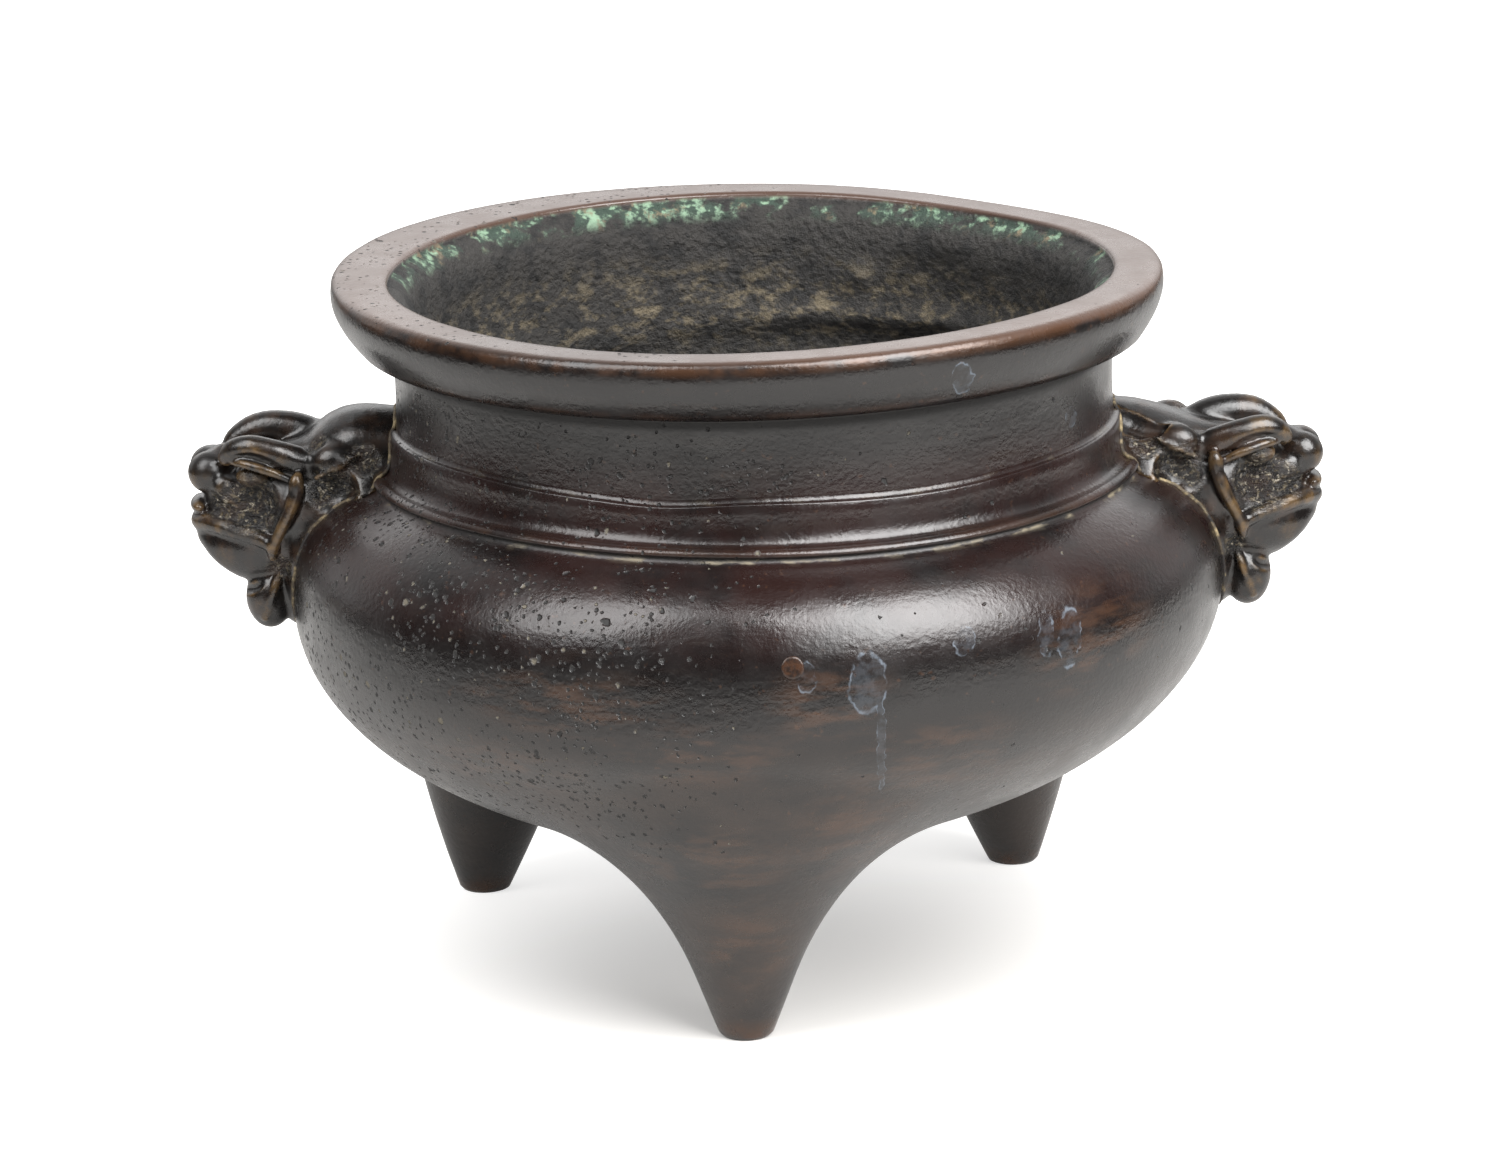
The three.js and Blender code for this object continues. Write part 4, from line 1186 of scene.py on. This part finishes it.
def makeMask(side, material):
    forms = [form for form in maskForms.values() if form.get("only", side) == side]
    if side == "left":
        forms = [onLeft(form) for form in forms]
    carved, field = maskField(forms)
    low = np.array(maskGrid["low"])
    points, quads = skinOf(field, low, maskGrid["step"])
    proud = proudness(points, quads, maskGrid["proudRounds"])
    rough, rubbed = np.zeros(len(points)), np.zeros(len(points))
    for trace, places in ((rough, roughPlaces), (rubbed, rubbedPlaces)):
        for x, y, z, reach in places:
            away = np.linalg.norm(points * (1, 0, 1) + (0, 1, 0) * np.abs(points) - (x, y, z), axis=1)
            np.maximum(trace, smoothStep(reach, reach * 0.45, away), out=trace)
    crest = smoothStep(*np.percentile(proud, maskGrid["crestPercent"]), proud)
    atSeam = smoothStep(1.2, 0.2, shoulderDistance(*points.T))
    rough *= smoothStep(0.4, 0.0, proud) * (1 - atSeam)
    if side == "left":
        points = points * (-1, 1, 1)
        quads = quads[:, ::-1]
    made = meshOf(side + "_lion_mask", points, quads)
    giveAttributes(made, {
        "wear": np.maximum(crest * maskGrid["crestWear"], rubbed * smoothStep(-0.02, 0.1, proud)),
        "hollow": smoothStep(0.08, 0.4, -proud),
        "rough": rough,
        "held": np.clip(atSeam, 0, 1),
    })
    made = applyTree(made, castSurface, {
        "Unevenness": 0.14 * mm, "Unevenness Width": 3.5 * mm, "Crust Depth": 1.1 * mm,
        "Crust Width": 2.5 * mm, "Seed": 11.0 if side == "right" else 17.0, "Material": material,
    })
    return made, seamLine(carved)


# Cast bronze of the masks: the same dark patina, rubbed through to warm brassy metal on brow,
# nose and lip, with pale polish and dust left in the carving.
maskLook = {
    "dark": "#110e0d",
    "brown": "#2f221a",
    "brass": "#6e5636",
    "glint": "#aaa292",
    "dust": "#7c7059",
    "roughness": 0.27,
    "metallic": 0.1,
    "specular": 0.66,
}


def maskMaterial():
    look = SimpleNamespace(**maskLook)
    material, add, where = startMaterial("rubbed_mask_bronze")
    patch = partial(patches, add, where)
    wear, hollow, rough = (
        add("Attribute", attribute_name=name).outputs["Fac"] for name in ("wear", "hollow", "rough"))
    rubbed = patch(2.4, 0.34, 0.66, detail=8.0, seed=2.5, strength=0.8, within=[wear])
    dusty = patch(2.2, 0.46, 0.62, detail=6.0, seed=3.5, strength=0.7, within=[hollow])
    grains = patch(0.9, 0.52, 0.66, detail=6.0, seed=4.5, strength=0.55, within=[rough])
    glints = patch(0.7, 0.57, 0.64, detail=5.0, seed=8.5, strength=0.9, within=[rough])
    colour = layered(add, look.dark, [
        (look.brown, patch(4, 0.45, 0.7, detail=5.0, seed=1.5)), (look.brass, rubbed), (look.dust, dusty),
        (look.dust, grains), (look.glint, glints),
    ])
    relief = raised(add, [
        (patch(0.5, 0.2, 0.8, seed=5.5), 0.02),
        (patch(1.3, 0.2, 0.8, detail=9.0, stretch=(0.6, 1, 1.8), seed=6.5, within=[rough]), 0.6),
    ])
    gloss = patch(3, 0.3, 0.7, detail=5.0, seed=7.5)
    gloss = add("MapRange", (gloss, 0, 1, look.roughness - 0.05, look.roughness + 0.07))
    gloss = layered(add, gloss, [(0.65, dusty), (0.2, glints)], "FLOAT")
    metallic = layered(add, look.metallic, [(0.35, rubbed), (0.8, glints)], "FLOAT")
    endMaterial(add, colour, gloss, metallic, relief, look.specular)
    return material


# Seam beads: a ragged fillet of tan solder and old polish

bead = {"radius": 0.45, "unevenness": 0.4, "width": 1.6, "steps": 420, "sides": 10}


def beadTree():
    tree, add, given = newTree("solder_bead", ("Radius", "Unevenness", "Width", "Seed"))
    line = add("GeometryNodeMeshToCurve", (given["Geometry"],))
    line = add("GeometryNodeResampleCurve", {"Curve": line, "Count": bead["steps"]})
    ring = add("GeometryNodeCurvePrimitiveCircle", {"Resolution": bead["sides"], "Radius": given["Radius"]})
    tube = add("GeometryNodeCurveToMesh", {"Curve": line, "Profile Curve": ring})
    amount = unevenBy(add, given, "Width", "Unevenness", 4.0, 0.5, 0.75)
    endTree(tree, pushedOut(add, tube, amount), given["Material"])
    return tree


def makeBead(side, line, tree, material):
    if side == "left":
        line = line * (-1, 1, 1)
    name, count = side + "_seam_bead", len(line)
    mesh = bpy.data.meshes.new(name)
    mesh.from_pydata((line * mm).tolist(), [(i, (i + 1) % count) for i in range(count)], [])
    return applyTree(newObject(name, mesh), tree, {
        "Radius": bead["radius"] * mm, "Unevenness": bead["unevenness"] * mm, "Width": bead["width"] * mm,
        "Seed": 5.0 if side == "right" else 9.0, "Material": material,
    })


# Soft solder and polish packed into the seam: dull, tan, grainy.
def solderMaterial():
    material, add, where = startMaterial("tan_seam_solder")
    patch = partial(patches, add, where)
    colour = layered(add, "#3f3528", [
        ("#948463", patch(1.4, 0.4, 0.66, detail=7.0, seed=1.0)),
        ("#1c1715", patch(3.2, 0.47, 0.6, detail=5.0, seed=2.0)),
    ])
    relief = raised(add, [(patch(0.35, 0.2, 0.8, seed=3.0), 0.08)])
    endMaterial(add, colour, 0.62, 0.1, relief)
    return material


# Pins through the wall, with hammered heads in the cavity

pin = {
    "radius": 1.7,
    "depth": 5.7,
    "headRadius": 3.6,
    "headHeight": 1.6,
    "edgeShare": 0.55,  # of the head's height, up to its widest place
    "footShare": 0.8,
    "dents": 0.25,
    "dentScale": 600.0,
    "sides": 36,
    "rows": 48,
    "rings": 8,
}
pinDrops = {"upper": 5.3, "lower": 13.8}  # below the collar's lower ridge


def pinTree():
    numbers = ("Radius", "Length", "Head Radius", "Head Height", "Dents", "Seed")
    tree, add, given = newTree("beaten_pin", numbers, takesMesh=False)
    shaft = add("GeometryNodeMeshCylinder", {
        "Vertices": pin["sides"], "Side Segments": pin["rows"], "Fill Segments": pin["rings"],
        "Radius": given["Radius"], "Depth": given["Length"],
    })
    place = add("GeometryNodeInputPosition")
    half = add("Math", (given["Length"], 0.5), operation="MULTIPLY")
    height = add("Math", (add("SeparateXYZ", (place,)).outputs["Z"], half), operation="ADD")
    ratio = add("Math", (given["Head Radius"], given["Radius"]), operation="DIVIDE")
    edge = add("Math", (given["Head Height"], pin["edgeShare"]), operation="MULTIPLY")
    flare = add("MapRange", (height, edge, given["Head Height"], ratio, 1.0), **smoothly)
    tuck = add("MapRange", (height, 0.0, edge, pin["footShare"], 1.0), **smoothly)
    noise = add("TexNoise", (place, given["Seed"], pin["dentScale"], 1.0), noise_dimensions="4D")
    dent = add("Math", (noise, given["Dents"]), operation="MULTIPLY")
    dent = add("Math", (1.0, dent), operation="SUBTRACT")
    wide = add("Math", (flare, tuck), operation="MULTIPLY")
    wide = add("Math", (wide, dent), operation="MULTIPLY")
    target = add("VectorMath", (place, add("CombineXYZ", (wide, wide, 1.0))), operation="MULTIPLY")
    shaped = add("GeometryNodeSetPosition", {"Geometry": shaft, "Position": target})
    endTree(tree, shaped, given["Material"])
    return tree


# A place on the shoulder straight out along +X, with the slope's outward line. With an angle
# it lies on the uneven casting as it is there.
def shoulderAt(height, angle=None):
    profile = outerProfile()
    if angle is not None:
        turn = math.radians(angle)
        radius, level = profile.T
        points = np.column_stack([radius * math.cos(turn), radius * math.sin(turn), level])
        points = handCast(points, np.zeros(len(points)))
        profile = np.column_stack([np.hypot(points[:, 0], points[:, 1]), points[:, 2]])
    i = int(np.argmax(profile[:, 1] > height))
    low, high = profile[i - 1], profile[i]
    along = unit(high - low)
    place = low + (high - low) * (height - low[1]) / (high[1] - low[1])
    return Vector((place[0], 0, place[1])), Vector((along[1], 0, -along[0]))


# Puts a piece made upright round the origin onto its place, in its mesh
def placeMesh(piece, place, outward, angle):
    turn = Matrix.Rotation(angle, 4, "Z")
    aim = outward.to_track_quat("Z", "Y").to_matrix().to_4x4()
    piece.data.transform(turn @ Matrix.Translation(place * mm) @ aim)


def makePin(side, level, tree, material):
    place, outward = shoulderAt(lowerRidge - pinDrops[level])
    name = side + "_" + level + "_pin"
    made = newObject(name, bpy.data.meshes.new(name))
    length = pin["depth"] + body.wall + pin["headHeight"]
    applyTree(made, tree, {
        "Radius": pin["radius"] * mm, "Length": length * mm, "Head Radius": pin["headRadius"] * mm,
        "Head Height": pin["headHeight"] * mm, "Dents": pin["dents"],
        "Seed": {"upper": 2.0, "lower": 4.0}[level], "Material": material,
    })
    middle = place + outward * (pin["depth"] - length / 2)
    placeMesh(made, middle, outward, 0 if side == "right" else math.pi)
    return made


# Wrought bronze, dulled and dented by the hammer.
def pinMaterial():
    material, add, where = startMaterial("hammered_pin_bronze")
    patch = partial(patches, add, where)
    colour = layered(add, "#2b2119", [("#6e5836", patch(1.8, 0.35, 0.7, detail=5.0, seed=1.0))])
    relief = raised(add, [(patch(1.2, 0.2, 0.8, detail=0.0, seed=2.0), 0.12)])
    endMaterial(add, colour, 0.48, 0.8, relief)
    return material


# Plug: a short round bar let into the wall, filed flush, its edge just showing

def makePlug(material):
    rows = profileOf((0, -body.wall), [
        [(plug["radius"], -body.wall)],
        [(plug["radius"], -plug["edge"])],
        [(plug["radius"], plug["crown"] / 2), (plug["radius"] - plug["edge"] * 2, plug["crown"])],
        [(0, plug["crown"])],
    ], 0.12)
    turn = np.arange(plug["sides"]) / plug["sides"] * 2 * math.pi
    rings = np.stack([rows[:, :1] * np.cos(turn), rows[:, :1] * np.sin(turn),
                      np.repeat(rows[:, 1:], len(turn), axis=1)], axis=2)
    made = meshOf("round_plug", *weld(stitched(rings)))
    place, outward = shoulderAt(body.bellyHeight + plug["rise"], plug["angle"])
    placeMesh(made, place, outward, math.radians(plug["angle"]))
    made.data.materials.append(material)
    return made


# A bronze with more copper than the vessel's, so its patina is redder.
def plugMaterial():
    material, add, where = startMaterial("red_plug_bronze")
    patch = partial(patches, add, where)
    colour = layered(add, "#1a110d", [("#3a2416", patch(0.9, 0.35, 0.65, detail=6.0, seed=1.0))])
    relief = raised(add, [(patch(0.5, 0.2, 0.8, seed=2.0), 0.03)])
    endMaterial(add, colour, 0.3, 0.05, relief)
    return material


def finish(piece, node):
    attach(piece, "root")
    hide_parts(node)
    print(piece.name, "made:", len(piece.data.polygons), "faces")


finish(makeVessel(vesselMaterial()), "vessel")
finish(makePlug(plugMaterial()), "belly_plug")
maskBronze, seamSolder, pinBronze = maskMaterial(), solderMaterial(), pinMaterial()
beads, pins = beadTree(), pinTree()
for side in ("right", "left"):
    lionMask, seam = makeMask(side, maskBronze)
    finish(lionMask, side + "_mask_handle")
    finish(makeBead(side, seam, beads, seamSolder), side + "_handle_solder")
    for level in ("upper", "lower"):
        finish(makePin(side, level, pins, pinBronze), side + "_" + level + "_rivet")
